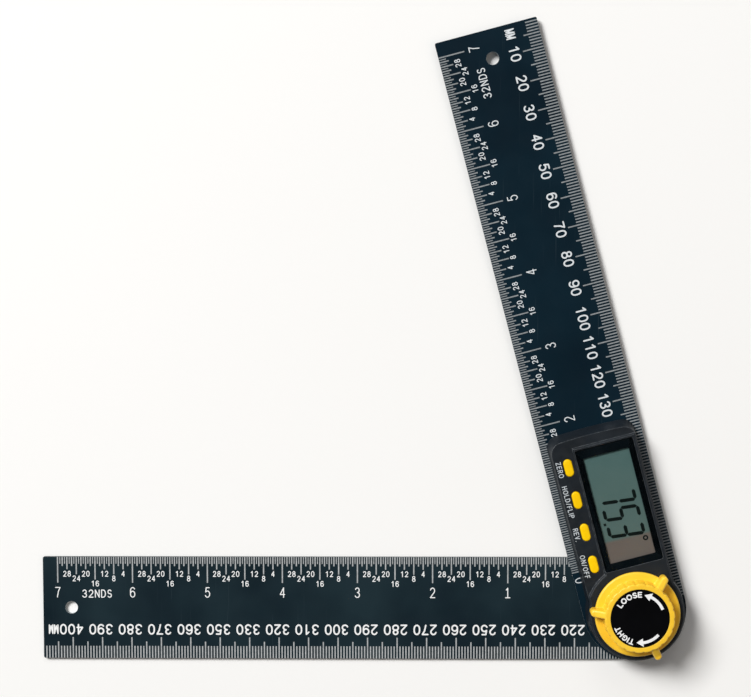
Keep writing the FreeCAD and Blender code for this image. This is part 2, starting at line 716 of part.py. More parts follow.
def battery_spring():
    """Bowed leaf under the board that presses on the cell's top."""
    half = CONTACT_LENGTH / 2
    upper = [
        (-half, BOARD_BOTTOM), (-half / 2, BOARD_BOTTOM),
        (0, CELL_TOP + CONTACT_THICKNESS),
        (half / 2, BOARD_BOTTOM), (half, BOARD_BOTTOM),
    ]
    lower = [(across, level - CONTACT_THICKNESS) for across, level in reversed(upper)]
    corners = [FreeCAD.Vector(across, 0, level) for across, level in upper + lower]
    leaf = Part.Face(Part.makePolygon(corners + corners[:1])).extrude(point(0, CONTACT_WIDTH))
    leaf.translate(point(0, CELL_ALONG - CONTACT_WIDTH / 2))
    return leaf


def battery_clip():
    """Curved contact beside the cell's rim, soldered under the board."""
    inner = CELL_RADIUS + RUNNING_CLEARANCE
    outer = inner + CONTACT_THICKNESS
    return sector(inner, outer, 90, CLIP_SPAN, CRADLE_BOTTOM, BOARD_BOTTOM, (0.0, CELL_ALONG))


def battery_cradle():
    """Ring that holds the cell sideways, between the battery cover's rim and the board."""
    return ring(CELL_POCKET_RADIUS, CRADLE_RADIUS, CRADLE_BOTTOM, BOARD_BOTTOM, (0.0, CELL_ALONG))


def lug_angles():
    return [90.0 + 360.0 * place / LUG_COUNT for place in range(LUG_COUNT)]


def battery_cover():
    """Flush door in the display blade: plate, rim and bayonet lugs hooked behind the blade."""
    cell = (0.0, CELL_ALONG)
    plate_top = DISPLAY_BACK + COVER_PLATE
    body = disc(COVER_RIM_RADIUS, DISPLAY_BACK, plate_top, cell)
    body = body.fuse(ring(CELL_POCKET_RADIUS, COVER_RIM_RADIUS, plate_top, COVER_RIM_LEVEL, cell))
    for angle in lug_angles():
        body = body.fuse(sector(
            CELL_POCKET_RADIUS, COVER_RIM_RADIUS + LUG_REACH,
            angle, LUG_SPAN, DISPLAY_FACE + LUG_PLAY, COVER_RIM_LEVEL, cell,
        ))
    half = COIN_SLOT_WIDTH / 2
    reach = COIN_SLOT_LENGTH / 2
    slot = block(
        -reach, reach, CELL_ALONG - half, CELL_ALONG + half,
        DISPLAY_BACK, DISPLAY_BACK + COIN_SLOT_DEPTH,
    )
    return body.cut(slot).removeSplitter()


# ---- the lock knob ---------------------------------------------------------------------------

def knob_ribs():
    """Three round-tipped fins that fall from the collar's edge to beyond the flange."""
    envelope = turned([
        (KNOB_BOSS_RADIUS, KNOB_UNDERSIDE),
        (RIB_REACH, KNOB_UNDERSIDE),
        (RIB_REACH, KNOB_UNDERSIDE + RIB_TIP_HEIGHT),
        (RIB_REACH - RIB_ROUND, KNOB_UNDERSIDE + RIB_TIP_HEIGHT + RIB_ROUND),
        (COLLAR_RADIUS - COLLAR_CROWN, COLLAR_TOP - COLLAR_CROWN),
        (KNOB_BOSS_RADIUS, COLLAR_TOP - COLLAR_CROWN),
    ])
    ribs = []
    for place in range(RIB_COUNT):
        length = RIB_REACH - CAP_RADIUS
        middle = (0.0, (RIB_REACH + CAP_RADIUS) / 2)
        fin = stadium(RIB_WIDTH, length, KNOB_UNDERSIDE, COLLAR_TOP, middle)
        angle = RIB_ANGLE - 90.0 + 360.0 * place / RIB_COUNT
        fin.rotate(point(0, 0), FreeCAD.Vector(0, 0, 1), angle)
        ribs.append(fin.common(envelope))
    return ribs


def knob_scallops():
    """Round grooves down the collar's wall, spaced evenly about the axis."""
    grooves = []
    distance = COLLAR_RADIUS + SCALLOP_RADIUS - SCALLOP_DEPTH
    for place in range(SCALLOP_COUNT):
        angle = math.radians(RIB_ANGLE) + 2 * math.pi * (place + 0.5) / SCALLOP_COUNT
        centre = (distance * math.cos(angle), distance * math.sin(angle))
        grooves.append(disc(SCALLOP_RADIUS, FLANGE_TOP, COLLAR_TOP - COLLAR_CROWN, centre))
    return grooves


def lock_knob():
    """Flange, scalloped collar and three ribs, hollow round a boss for the threaded insert."""
    edge = FLANGE_THICKNESS / 3
    body = turned([
        (0, KNOB_UNDERSIDE),
        (FLANGE_RADIUS - edge, KNOB_UNDERSIDE),
        (FLANGE_RADIUS, KNOB_UNDERSIDE + edge),
        (FLANGE_RADIUS, FLANGE_TOP - edge),
        (FLANGE_RADIUS - edge, FLANGE_TOP),
        (COLLAR_RADIUS, FLANGE_TOP),
        (COLLAR_RADIUS, COLLAR_TOP - COLLAR_CROWN),
        (COLLAR_RADIUS - COLLAR_CROWN, COLLAR_TOP),
        (0, COLLAR_TOP),
    ])
    for groove in knob_scallops():
        body = body.cut(groove)
    for rib in knob_ribs():
        body = body.fuse(rib)
    body = body.cut(disc(CAP_RADIUS, CAP_SEAT, COLLAR_TOP))
    skirt_outer = CAP_RADIUS - RUNNING_CLEARANCE
    body = body.cut(ring(KNOB_BOSS_RADIUS, skirt_outer, FLANGE_TOP, CAP_SEAT))
    body = body.cut(disc(KNOB_BOSS_RADIUS, INSERT_TOP, CAP_SEAT))
    body = body.cut(disc(INSERT_RADIUS, INSERT_BOTTOM, INSERT_TOP))
    return body.cut(disc(STUD_THREAD_RADIUS + PIECE_CLEARANCE, KNOB_UNDERSIDE, INSERT_BOTTOM))


def knob_insert():
    return ring(STUD_THREAD_RADIUS + RUNNING_CLEARANCE, INSERT_RADIUS, INSERT_BOTTOM, INSERT_TOP)


def knob_cap():
    """Disc that closes the knob, with a skirt that snaps inside the collar."""
    body = disc(CAP_RADIUS - RUNNING_CLEARANCE, CAP_SEAT, CAP_TOP)
    outer = CAP_RADIUS - 2 * RUNNING_CLEARANCE
    return body.fuse(ring(outer - CAP_SKIRT_WALL, outer, CAP_SEAT - CAP_SKIRT, CAP_SEAT))


# ---- placing and writing ---------------------------------------------------------------------

def on_display_arm():
    pieces = {
        "display_blade": display_blade(),
        "housing": housing(),
        "housing_screws": housing_screws(),
        "display_window": display_window(),
        "lcd_panel": lcd_panel(),
        "display_connectors": display_connectors(),
        "circuit_board": circuit_board(),
        "board_screws": board_screws(),
        "controller_chip": controller_chip(),
        "dome_switches": dome_switches(),
        "coin_cell": coin_cell(),
        "battery_spring": battery_spring(),
        "battery_clip": battery_clip(),
        "battery_cradle": battery_cradle(),
        "battery_cover": battery_cover(),
        "clamp_stud": clamp_stud(),
        "thrust_washer": thrust_washer(),
        "lock_knob": lock_knob(),
        "knob_insert": knob_insert(),
        "knob_cap": knob_cap(),
    }
    for name, along in zip(BUTTON_NAMES, BUTTON_CENTRES):
        pieces[name] = button(along)
    return pieces


def on_swing_arm():
    return {
        "swing_blade": swing_blade(),
        "pivot_hub": pivot_hub(),
        "hub_screws": hub_screws(),
        "slip_washer": slip_washer(),
        "friction_washer": friction_washer(),
        "retaining_ring": retaining_ring(),
        "encoder_rotor": encoder_rotor(),
    }


def write(name, piece, turn):
    shape = Part.makeCompound(piece) if isinstance(piece, list) else piece
    shape.rotate(point(0, 0), FreeCAD.Vector(0, 0, 1), turn)
    shape.exportStep(os.path.join("parts", name + ".step"))


os.makedirs("parts", exist_ok=True)
for piece_name, piece_shape in on_display_arm().items():
    write(piece_name, piece_shape, DISPLAY_ARM_TURN)
for piece_name, piece_shape in on_swing_arm().items():
    write(piece_name, piece_shape, SWING_ARM_TURN)
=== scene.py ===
import json
import math

import bmesh
import bpy
from mathutils import Matrix, Vector


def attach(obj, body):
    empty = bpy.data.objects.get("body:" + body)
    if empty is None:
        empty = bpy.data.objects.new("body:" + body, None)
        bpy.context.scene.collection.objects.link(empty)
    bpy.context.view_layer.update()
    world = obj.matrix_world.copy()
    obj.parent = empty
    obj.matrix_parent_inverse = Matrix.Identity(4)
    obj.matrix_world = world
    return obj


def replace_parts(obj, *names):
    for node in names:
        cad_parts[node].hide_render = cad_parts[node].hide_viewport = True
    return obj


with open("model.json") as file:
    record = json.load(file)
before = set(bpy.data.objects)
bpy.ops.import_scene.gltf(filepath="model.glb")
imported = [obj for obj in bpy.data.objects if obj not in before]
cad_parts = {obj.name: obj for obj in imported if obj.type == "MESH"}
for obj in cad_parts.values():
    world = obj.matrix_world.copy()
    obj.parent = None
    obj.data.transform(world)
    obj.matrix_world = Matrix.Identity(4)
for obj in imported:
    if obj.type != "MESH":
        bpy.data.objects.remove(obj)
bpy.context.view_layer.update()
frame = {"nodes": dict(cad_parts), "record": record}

# Looks of a digital angle finder: the printed scales, the read-out, the keys, the lock knob, and a
# finish for every piece of the frame.
#
# Pieces are drawn in millimetres on one of the two arms: v runs across the arm, u along it from
# the pivot, and z up from the tool's back. The arm then places them in the frame, in metres.

MM = 0.001


class Arm:
    """Axes of one arm, found from its hanging hole."""

    def __init__(self, body, blade, hanging_hole):
        mount = next(m for m in frame["record"]["mounts"] if m["name"] == hanging_hole)
        x, y = mount["pos_m"][:2]
        self.body = body
        self.turn = math.atan2(-x, y)
        self.hole_along = math.hypot(x, y) / MM
        self.hole_radius = mount["dims"]["r_mm"]
        self.to_frame = Matrix.Rotation(self.turn, 4, "Z") @ Matrix.Scale(MM, 4)
        low, high = self.span(blade)
        self.half_width = high.x
        self.tip = high.y
        self.face = high.z

    def places(self, node):
        """(v, u, z) of every vertex of a CAD node."""
        from_frame = self.to_frame.inverted()
        return [from_frame @ vertex.co for vertex in frame["nodes"][node].data.vertices]

    def span(self, node):
        """Lowest and highest (v, u, z) of a CAD node."""
        places = self.places(node)
        return Vector(map(min, zip(*places))), Vector(map(max, zip(*places)))


DISPLAY_ARM = Arm("display_arm", "display_blade", "display_arm_hanging_hole")
SWING_ARM = Arm("swing_arm", "swing_blade", "swing_arm_hanging_hole")
LEFT, RIGHT = -1, 1             # sides of an arm, seen from above with the pivot below


# ---- meshes and outlines ---------------------------------------------------------------------

SHARP_ANGLE = math.radians(35)  # edges sharper than this stay sharp on a smooth piece
CIRCLE_STEPS = 48
CORNER_STEPS = 6
SLOT_END_STEPS = 12


def make_piece(name, shape, finish, arm=DISPLAY_ARM, body=None, smooth=False):
    """Object from a shape drawn in an arm's millimetres. It rides on that arm or another body."""
    bmesh.ops.recalc_face_normals(shape, faces=shape.faces)
    mesh = bpy.data.meshes.new(name)
    shape.to_mesh(mesh)
    shape.free()
    mesh.transform(arm.to_frame)
    mesh.materials.append(finish)
    if smooth:
        mesh.shade_smooth()
        mesh.set_sharp_from_angle(angle=SHARP_ANGLE)
    piece = bpy.data.objects.new(name, mesh)
    bpy.context.scene.collection.objects.link(piece)
    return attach(piece, body or arm.body)


def bridge(shape, lower, upper):
    """Band of faces between two closed rows of equally many vertices."""
    for here in range(len(lower)):
        after = (here + 1) % len(lower)
        shape.faces.new((lower[here], lower[after], upper[after], upper[here]))


def add_rings(shape, rings, joined=False):
    """Skin over closed rings of equally many (v, u, z) points, its two ends joined or capped."""
    rows = [[shape.verts.new(place) for place in ring] for ring in rings]
    for lower, upper in zip(rows, rows[1:]):
        bridge(shape, lower, upper)
    if joined:
        bridge(shape, rows[-1], rows[0])
    else:
        shape.faces.new(reversed(rows[0]))
        shape.faces.new(rows[-1])


def add_layers(shape, layers, joined=False):
    """Skin over level outlines, given as (outline, level)."""
    rings = [[(v, u, level) for v, u in outline] for outline, level in layers]
    add_rings(shape, rings, joined)


def add_slab(shape, outline, low, high):
    add_layers(shape, ((outline, low), (outline, high)))


def add_frame(shape, outer, inner, low, high):
    """Closed band between two outlines of equally many points."""
    add_layers(shape, ((outer, low), (outer, high), (inner, high), (inner, low)), joined=True)


def around(radius, angle, centre=(0, 0)):
    """Point at a distance from a centre, at an angle in degrees."""
    turn = math.radians(angle)
    return (centre[0] + radius * math.cos(turn), centre[1] + radius * math.sin(turn))


def arc(radius, start, end, steps, centre=(0, 0)):
    """Points of a circle, from one angle to another in degrees."""
    angles = [start + (end - start) * step / steps for step in range(steps + 1)]
    return [around(radius, angle, centre) for angle in angles]


def circle(radius, centre):
    return arc(radius, 0, 360, CIRCLE_STEPS, centre)[:-1]


def rectangle(left, right, near, far):
    return [(left, near), (right, near), (right, far), (left, far)]


def rounded_rectangle(left, right, near, far, corner):
    centres = (
        (right - corner, far - corner), (left + corner, far - corner),
        (left + corner, near + corner), (right - corner, near + corner),
    )
    outline = []
    for quarter, centre in enumerate(centres):
        outline += arc(corner, 90 * quarter, 90 * (quarter + 1), CORNER_STEPS, centre)
    return outline


def stadium(centre, half_width, half_length):
    """Slot outline along the arm, with round ends."""
    v, u = centre
    straight = half_length - half_width
    far_end = arc(half_width, 0, 180, SLOT_END_STEPS, (v, u + straight))
    near_end = arc(half_width, 180, 360, SLOT_END_STEPS, (v, u - straight))
    return far_end + near_end


# ---- lettering -------------------------------------------------------------------------------

PRINT_THICKNESS = 0.03
LAYER = 0.004                   # each track's top above the one that it crosses
BOW_STEP = 22                   # degrees
SHARP_CORNER = math.radians(40)
ROUND_END_STEPS = 4
CLOSED_WITHIN = 0.1             # pen widths between the ends of a path that is closed


def bow(x, y, width, height, start, end):
    """Part of an oval, from one angle to another in degrees."""
    steps = max(2, round(abs(end - start) / BOW_STEP))
    return [(x + width * across, y + height * up) for across, up in arc(1, start, end, steps)]


# Width and pen strokes of each letter, one unit high.
LETTERS = {
    "0": (0.58, [
        bow(0.29, 0.6, 0.29, 0.4, 0, 180) + bow(0.29, 0.4, 0.29, 0.4, 180, 360) + [(0.58, 0.6)],
    ]),
    "1": (0.58, [[(0.1, 0.77), (0.36, 1), (0.36, 0)]]),
    "footed 1": (0.58, [[(0.1, 0.8), (0.29, 1), (0.29, 0)], [(0, 0), (0.58, 0)]]),
    "2": (0.58, [bow(0.29, 0.72, 0.27, 0.28, 165, -40) + [(0, 0), (0.58, 0)]]),
    "3": (0.58, [bow(0.27, 0.76, 0.25, 0.24, 160, -90), bow(0.27, 0.26, 0.29, 0.26, 90, -160)]),
    "4": (0.58, [[(0.44, 0), (0.44, 1), (0, 0.3), (0.58, 0.3)]]),
    "5": (0.58, [[(0.52, 1), (0.12, 1)] + bow(0.28, 0.33, 0.3, 0.33, 140, -155)]),
    "6": (0.58, [
        bow(0.3, 0.66, 0.3, 0.34, 35, 180) + [(0, 0.31)], bow(0.29, 0.31, 0.29, 0.31, 0, 360),
    ]),
    "7": (0.58, [[(0, 1), (0.58, 1), (0.36, 0.6), (0.22, 0)]]),
    "8": (0.58, [bow(0.29, 0.765, 0.24, 0.235, 0, 360), bow(0.29, 0.27, 0.29, 0.27, 0, 360)]),
    "9": (0.58, [
        bow(0.28, 0.34, 0.3, 0.34, 215, 360) + [(0.58, 0.7)], bow(0.29, 0.69, 0.29, 0.31, 0, 360),
    ]),
    "D": (0.58, [[(0.25, 0), (0, 0), (0, 1)] + bow(0.25, 0.5, 0.33, 0.5, 90, -90)]),
    "E": (0.48, [[(0.48, 1), (0, 1), (0, 0), (0.48, 0)], [(0, 0.52), (0.44, 0.52)]]),
    "F": (0.44, [[(0.44, 1), (0, 1), (0, 0)], [(0, 0.52), (0.38, 0.52)]]),
    "G": (0.64, [bow(0.33, 0.5, 0.33, 0.5, 45, 330) + [(0.62, 0.45), (0.38, 0.45)]]),
    "H": (0.54, [[(0, 0), (0, 1)], [(0.54, 0), (0.54, 1)], [(0, 0.52), (0.54, 0.52)]]),
    "I": (0, [[(0, 0), (0, 1)]]),
    "L": (0.44, [[(0, 1), (0, 0), (0.44, 0)]]),
    "M": (0.72, [[(0, 0), (0, 1), (0.36, 0.1), (0.72, 1), (0.72, 0)]]),
    "N": (0.56, [[(0, 0), (0, 1), (0.56, 0), (0.56, 1)]]),
    "O": (0.7, [bow(0.35, 0.5, 0.35, 0.5, 0, 360)]),
    "P": (0.52, [[(0, 0), (0, 1)] + bow(0.27, 0.74, 0.25, 0.26, 90, -90) + [(0, 0.48)]]),
    "R": (0.5, [
        [(0, 0), (0, 1)] + bow(0.3, 0.75, 0.2, 0.25, 90, -90) + [(0, 0.5)], [(0.3, 0.5), (0.5, 0)],
    ]),
    "S": (0.52, [
        bow(0.26, 0.75, 0.24, 0.25, 30, 270) + bow(0.26, 0.25, 0.26, 0.25, 90, -150)[1:],
    ]),
    "T": (0.56, [[(0, 1), (0.56, 1)], [(0.28, 1), (0.28, 0)]]),
    "V": (0.56, [[(0, 1), (0.28, 0), (0.56, 1)]]),
    "Z": (0.52, [[(0, 1), (0.52, 1), (0, 0), (0.52, 0)]]),
    "/": (0.3, [[(0, 0), (0.3, 1)]]),
    ".": (0, [[(0, 0), (0, 0.04)]]),
}


def beside(points, distance, closed):
    """Path moved sideways to its left."""
    ways = [(after - here).normalized() for here, after in zip(points, points[1:])]
    arriving = (ways[-1:] if closed else ways[:1]) + ways
    leaving = ways + (ways[:1] if closed else ways[-1:])
    moved = []
    for here, before, after in zip(points, arriving, leaving):
        middle = (before + after).normalized()
        moved.append(here + middle.orthogonal() * distance / middle.dot(before))
    return moved


def smooth_runs(points):
    """Parts of a stroke between its sharp corners."""
    runs, run = [], points[:1]
    for before, here, after in zip(points, points[1:], points[2:]):
        run.append(here)
        if (here - before).angle(after - here) > SHARP_CORNER:
            runs.append(run)
            run = [here]
    return runs + [run + points[-1:]]


def round_end(centre, start):
    """Points of the half circle between a path's two sides at one of its ends."""
    turns = [-math.pi * step / ROUND_END_STEPS for step in range(1, ROUND_END_STEPS)]
    return [centre + Matrix.Rotation(turn, 2) @ (start - centre) for turn in turns]


def add_track(shape, points, pen, level, top):
    """Raised track of a round pen along a smooth path."""
    closed = (points[0] - points[-1]).length < pen * CLOSED_WITHIN
    left = beside(points, pen / 2, closed)
    right = beside(points, -pen / 2, closed)
    if closed:
        add_frame(shape, right[:-1], left[:-1], level, top)
    else:
        end = round_end(points[-1], left[-1])
        start = round_end(points[0], right[0])
        add_slab(shape, left + end + right[::-1] + start, level, top)


class Lettering:
    """A size and weight of printed letters, in millimetres."""

    def __init__(self, height, pen, gap, stretch=1.0):
        self.height = height
        self.pen = pen
        self.gap = gap
        self.rise = height - pen
        self.run = stretch * self.rise

    def width(self, letter):
        return LETTERS[letter][0] * self.run + self.pen

    def add_letter(self, shape, letter, corner, turn, level):
        """Letter whose lower left corner is at a place and whose baseline runs at turn."""
        rotation = Matrix.Rotation(turn, 2)
        inset = Vector((self.pen / 2, self.pen / 2))
        top = level + PRINT_THICKNESS
        for stroke in LETTERS[letter][1]:
            places = [inset + Vector((x * self.run, y * self.rise)) for x, y in stroke]
            for run in smooth_runs([corner + rotation @ place for place in places]):
                add_track(shape, run, self.pen, level, top)
                top += LAYER

    def write(self, shape, text, centre, turn, level):
        """Word centred on a place."""
        rotation = Matrix.Rotation(turn, 2)
        widths = [self.width(letter) for letter in text]
        start = -(sum(widths) + self.gap * (len(text) - 1)) / 2
        for letter, width in zip(text, widths):
            corner = Vector(centre) + rotation @ Vector((start, -self.height / 2))
            self.add_letter(shape, letter, corner, turn, level)
            start += width + self.gap

    def write_round(self, shape, text, radius, first_angle, level):
        """Word round the pivot, read clockwise, with its letters' tops outward."""
        angle = math.radians(first_angle)
        for letter in text:
            width = self.width(letter)
            angle -= width / 2 / radius
            corner = Matrix.Rotation(angle, 2) @ Vector((radius - self.height / 2, width / 2))
            self.add_letter(shape, letter, corner, angle - math.pi / 2, level)
            angle -= (width / 2 + self.gap) / radius


# ---- finishes --------------------------------------------------------------------------------

SOFT = (0.35, 0.65)             # parts of a noise's range that are drawn out to the whole
SOFTER = (0.3, 0.7)
NOISE_ROUGHNESS = 0.55
BEVEL_SAMPLES = 4
EDGE_ALIKE = (0.995, 0.8)       # dot product of flat and rounded normals, off and on an edge
BARE_RIM = 0.06                 # bare metal round a hanging hole
BARE_BLEND = 0.03
SCRATCH_LEAN = 0.5              # from straight along the arm
BOARD_TRACK_PITCH = 2.4
BOARD_TRACK_WIDTH = 0.035       # as a share of the pitch


def srgb(red, green, blue):
    """Linear colour of a 0 to 255 screen colour."""
    def linear(value):
        share = value / 255
        return share / 12.92 if share <= 0.04045 else ((share + 0.055) / 1.055) ** 2.4

    return (linear(red), linear(green), linear(blue), 1.0)


class Finish:
    """Node material built round one principled shader. Sizes are in millimetres."""

    def __init__(self, name, **constants):
        self.material = bpy.data.materials.new(name)
        self.material.use_nodes = True
        self.tree = self.material.node_tree
        self.shader = self.tree.nodes["Principled BSDF"]
        for socket, value in constants.items():
            self.shader.inputs[socket.replace("_", " ")].default_value = value
        self.place = self.tree.nodes.new("ShaderNodeTexCoord").outputs["Object"]

    def node(self, kind, inputs=None, **settings):
        made = self.tree.nodes.new("ShaderNode" + kind)
        for setting, value in settings.items():
            setattr(made, setting, value)
        for socket, value in (inputs or {}).items():
            self.feed(made.inputs[socket], value)
        return made

    def feed(self, socket, value):
        if isinstance(value, bpy.types.NodeSocket):
            self.tree.links.new(value, socket)
        else:
            socket.default_value = value

    def noise(self, size, detail=2.0, stretch=None):
        """Noise whose features are about this wide, drawn out by (direction, ratio)."""
        place = self.place
        if stretch:
            turn, ratio = stretch
            mapping = {"Vector": place, "Rotation": (0, 0, -turn), "Scale": (1, 1 / ratio, 1)}
            place = self.node("Mapping", mapping, vector_type="POINT").outputs[0]
        return self.node("TexNoise", {
            "Vector": place, "Scale": 1 / (size * MM), "Detail": detail,
            "Roughness": NOISE_ROUGHNESS,
        }).outputs["Fac"]

    def ramp(self, value, between, to=(0.0, 1.0)):
        """Value taken from one range to another, and held there outside."""
        names = ("Value", "From Min", "From Max", "To Min", "To Max")
        return self.node("MapRange", dict(zip(names, (value, *between, *to)))).outputs[0]

    def patches(self, size, detail=2.0, between=SOFT, to=(0.0, 1.0), stretch=None):
        """Noise with more contrast, from one value to another."""
        return self.ramp(self.noise(size, detail, stretch), between, to)

    def maths(self, operation, *values):
        return self.node("Math", dict(enumerate(values)), operation=operation).outputs[0]

    def mix(self, share, first, second):
        """Colour between two others."""
        made = self.node("Mix", data_type="RGBA")
        colours = [socket for socket in made.inputs if socket.type == "RGBA"]
        self.feed(made.inputs[0], share)
        self.feed(colours[0], first)
        self.feed(colours[1], second)
        return next(socket for socket in made.outputs if socket.type == "RGBA")

    def on_arm(self, arm):
        """v and u of a point on an arm, in metres."""
        inputs = {"Vector": self.place, "Rotation": (0, 0, -arm.turn)}
        turned = self.node("Mapping", inputs, vector_type="POINT").outputs[0]
        v, u, _ = self.node("SeparateXYZ", {"Vector": turned}).outputs
        return v, u

    def edge(self, radius):
        """One on sharp edges, nothing on flat faces; and the normal rounded over them."""
        rounded = self.node("Bevel", {"Radius": radius * MM}, samples=BEVEL_SAMPLES).outputs[0]
        normals = {0: rounded, 1: self.node("NewGeometry").outputs["Normal"]}
        alike = self.node("VectorMath", normals, operation="DOT_PRODUCT").outputs["Value"]
        return self.ramp(alike, EDGE_ALIKE), rounded

    def colour(self, value):
        self.feed(self.shader.inputs["Base Color"], value)

    def roughness(self, value):
        self.feed(self.shader.inputs["Roughness"], value)

    def relief(self, height, depth, normal=None):
        inputs = {"Height": height, "Distance": depth * MM, "Strength": 1.0}
        if normal:
            inputs["Normal"] = normal
        self.feed(self.shader.inputs["Normal"], self.node("Bump", inputs).outputs[0])


def moulded(name, dark, light, roughness, grain, depth, edge_highlight=None, **constants):
    """Moulded plastic: slow drift of colour, fine texture, slightly polished rounded edges, and a
    painted highlight on them where one is given.
    """
    finish = Finish(name, **constants)
    colour = finish.mix(finish.patches(size=9.0), dark, light)
    edge_wear_and_highlight, rounded = finish.edge(radius=0.3)
    if edge_highlight:
        # painted highlight on the rounded edges, broken up by noise; the polish below only lowers
        # roughness
        highlight_patches = finish.patches(size=1.6, between=(0.4, 0.6), to=(0.25, 0.9))
        colour = finish.mix(finish.maths("MULTIPLY", edge_wear_and_highlight, highlight_patches), colour, edge_highlight)
    finish.colour(colour)
    matt = finish.patches(size=2.5, detail=3.0, to=roughness)
    polish = finish.ramp(edge_wear_and_highlight, between=(0.0, 1.0), to=(1.0, 0.5))
    finish.roughness(finish.maths("MULTIPLY", matt, polish))
    finish.relief(finish.noise(grain), depth, rounded)
    return finish.material


def turned_metal(name, dark, light):
    """Bright metal with fine machining marks and a few dull patches."""
    finish = Finish(name, Metallic=1.0)
    marks = finish.noise(size=0.12, detail=1.0, stretch=(0.3, 14.0))
    clouds = finish.noise(size=3.0, detail=3.0)
    marked = finish.ramp(marks, SOFTER, to=(0.6, 1.0))
    clouded = finish.ramp(clouds, SOFTER, to=(0.7, 1.0))
    finish.colour(finish.mix(finish.maths("MULTIPLY", marked, clouded), dark, light))
    finish.roughness(finish.ramp(clouds, SOFTER, to=(0.38, 0.22)))
    finish.relief(marks, depth=0.004, normal=finish.edge(radius=0.1)[1])
    return finish.material


def coated_steel(name, arm, dark, light):
    """Dark coating: faint clouds, hairline scratches, bare metal in the hole, and pale chips on
    the edges that are partly wear and partly a painted edge highlight.
    """
    finish = Finish(name, Specular_IOR_Level=0.1)
    colour = finish.mix(finish.patches(size=38.0, detail=3.0), dark, light)
    scratches = finish.patches(
        size=0.35, detail=1.0, between=(0.72, 0.8), to=(0.0, 0.22),
        stretch=(arm.turn + SCRATCH_LEAN, 60.0),
    )
    colour = finish.mix(scratches, colour, srgb(70, 84, 92))

    v, u = finish.on_arm(arm)
    along = finish.maths("SUBTRACT", u, arm.hole_along * MM)
    squares = [finish.maths("MULTIPLY", way, way) for way in (v, along)]
    from_hole = finish.maths("SQRT", finish.maths("ADD", *squares))
    rim = arm.hole_radius + BARE_RIM
    in_hole = finish.ramp(from_hole, between=(rim * MM, (rim - BARE_BLEND) * MM))
    # the pale grey on the edges is partly chipped coating and partly a painted highlight along
    # them
    edge_wear_and_highlight, rounded = finish.edge(radius=0.18)
    edge_chips_and_highlights = finish.patches(size=1.1, detail=3.0, between=(0.38, 0.62), to=(0.1, 0.85))
    bare_metal_and_edge_highlight = finish.maths("MAXIMUM", in_hole, finish.maths("MULTIPLY", edge_wear_and_highlight, edge_chips_and_highlights))
    finish.colour(finish.mix(bare_metal_and_edge_highlight, colour, srgb(150, 158, 162)))
    finish.roughness(finish.patches(size=6.0, detail=4.0, to=(0.38, 0.44)))
    finish.relief(finish.noise(size=0.5, detail=3.0), depth=0.004, normal=rounded)
    return finish.material


def printed_ink(name, dark, light, roughness=(0.45, 0.6)):
    """Screen-printed ink: thin and slightly uneven."""
    finish = Finish(name, Specular_IOR_Level=0.15)
    finish.colour(finish.mix(finish.patches(size=0.9, detail=3.0, between=SOFTER), dark, light))
    finish.roughness(finish.patches(size=0.5, between=SOFTER, to=roughness))
    finish.relief(finish.noise(size=0.15), depth=0.004)
    return finish.material


def clear_cover(name):
    """Clear plastic seen through: only its gloss and a trace of dust show."""
    finish = Finish(name, Alpha=0.06, Specular_IOR_Level=0.5)
    dust = finish.patches(size=4.0, detail=4.0, between=(0.45, 0.8))
    finish.colour(finish.mix(dust, srgb(8, 12, 14), srgb(60, 66, 70)))
    finish.roughness(finish.patches(size=6.0, detail=3.0, to=(0.05, 0.12)))
    finish.relief(finish.noise(size=12.0), depth=0.002, normal=finish.edge(radius=0.2)[1])
    return finish.material


def solder_mask(name):
    """Green board with fine copper tracks showing through the mask."""
    finish = Finish(name)
    tracks = finish.node("TexBrick", {
        "Vector": finish.place, "Scale": 1 / (BOARD_TRACK_PITCH * MM),
        "Color1": (0, 0, 0, 1), "Color2": (0, 0, 0, 1), "Mortar": (1, 1, 1, 1),
        "Mortar Size": BOARD_TRACK_WIDTH,
    }).outputs["Fac"]
    base = finish.mix(finish.noise(size=5.0), srgb(14, 70, 36), srgb(20, 86, 46))
    finish.colour(finish.mix(tracks, base, srgb(58, 128, 76)))
    finish.roughness(finish.patches(size=2.0, between=SOFTER, to=(0.3, 0.45)))
    finish.relief(tracks, depth=0.03)
    return finish.material


# ---- scales ----------------------------------------------------------------------------------

TICK_WIDTH = 0.42
FINE_TICK_WIDTH = 0.3
HOUSING_LOW, HOUSING_HIGH = DISPLAY_ARM.span("housing")
HOUSING_END_RADIUS = -HOUSING_LOW.y
HOUSING_SIDE = max(v for v, u, z in DISPLAY_ARM.places("housing") if u > HOUSING_END_RADIUS)
HOUSING_CORNER_START = 59.6     # its sides are straight up to here

MM_TICK_ENDS = {1: 13.2, 5: 11.7, 10: 10.2}     # inner ends, from the arm's middle line
MM_NUMERAL_CENTRE = 7.5
MM_WORD_ALONG = 196.6
LONG_NUMERAL_SHIFT = 0.5        # numerals of three digits stand this much late
FIRST_LONG_NUMBER = 100
PIVOT_NUMBER = 200              # both scales are counted from the display arm's tip
NUMBER_STEP = 10
DISPLAY_NUMBERS = range(10, 131, NUMBER_STEP)
SWING_NUMERAL_PLACES = range(20, 191, NUMBER_STEP)
SKIPPED_NUMBER = 340            # the swing arm's scale goes on without it

INCH = 25.4
INCH_PARTS = 32
INCH_ZERO = 17.2                # from the pivot
INCHES = 7
INCH_TICK_ENDS = {1: 15.0, 2: 14.2, 4: 13.1, 8: 11.4, 16: 9.6, 32: 8.5}     # by inch parts
INCH_NUMERAL_CENTRE = 5.2
ORIGIN_NUMERAL = (15.2, 14.2)   # across and along the arm
FRACTION_CENTRES = {4: 11.55, 8: 9.95, 12: 11.55, 16: 8.2, 20: 11.55, 24: 9.95, 28: 11.55}
FRACTION_WORD_CENTRE = 4.75
FRACTION_WORD_ALONG = {"display": 183.2, "swing": 181.7}

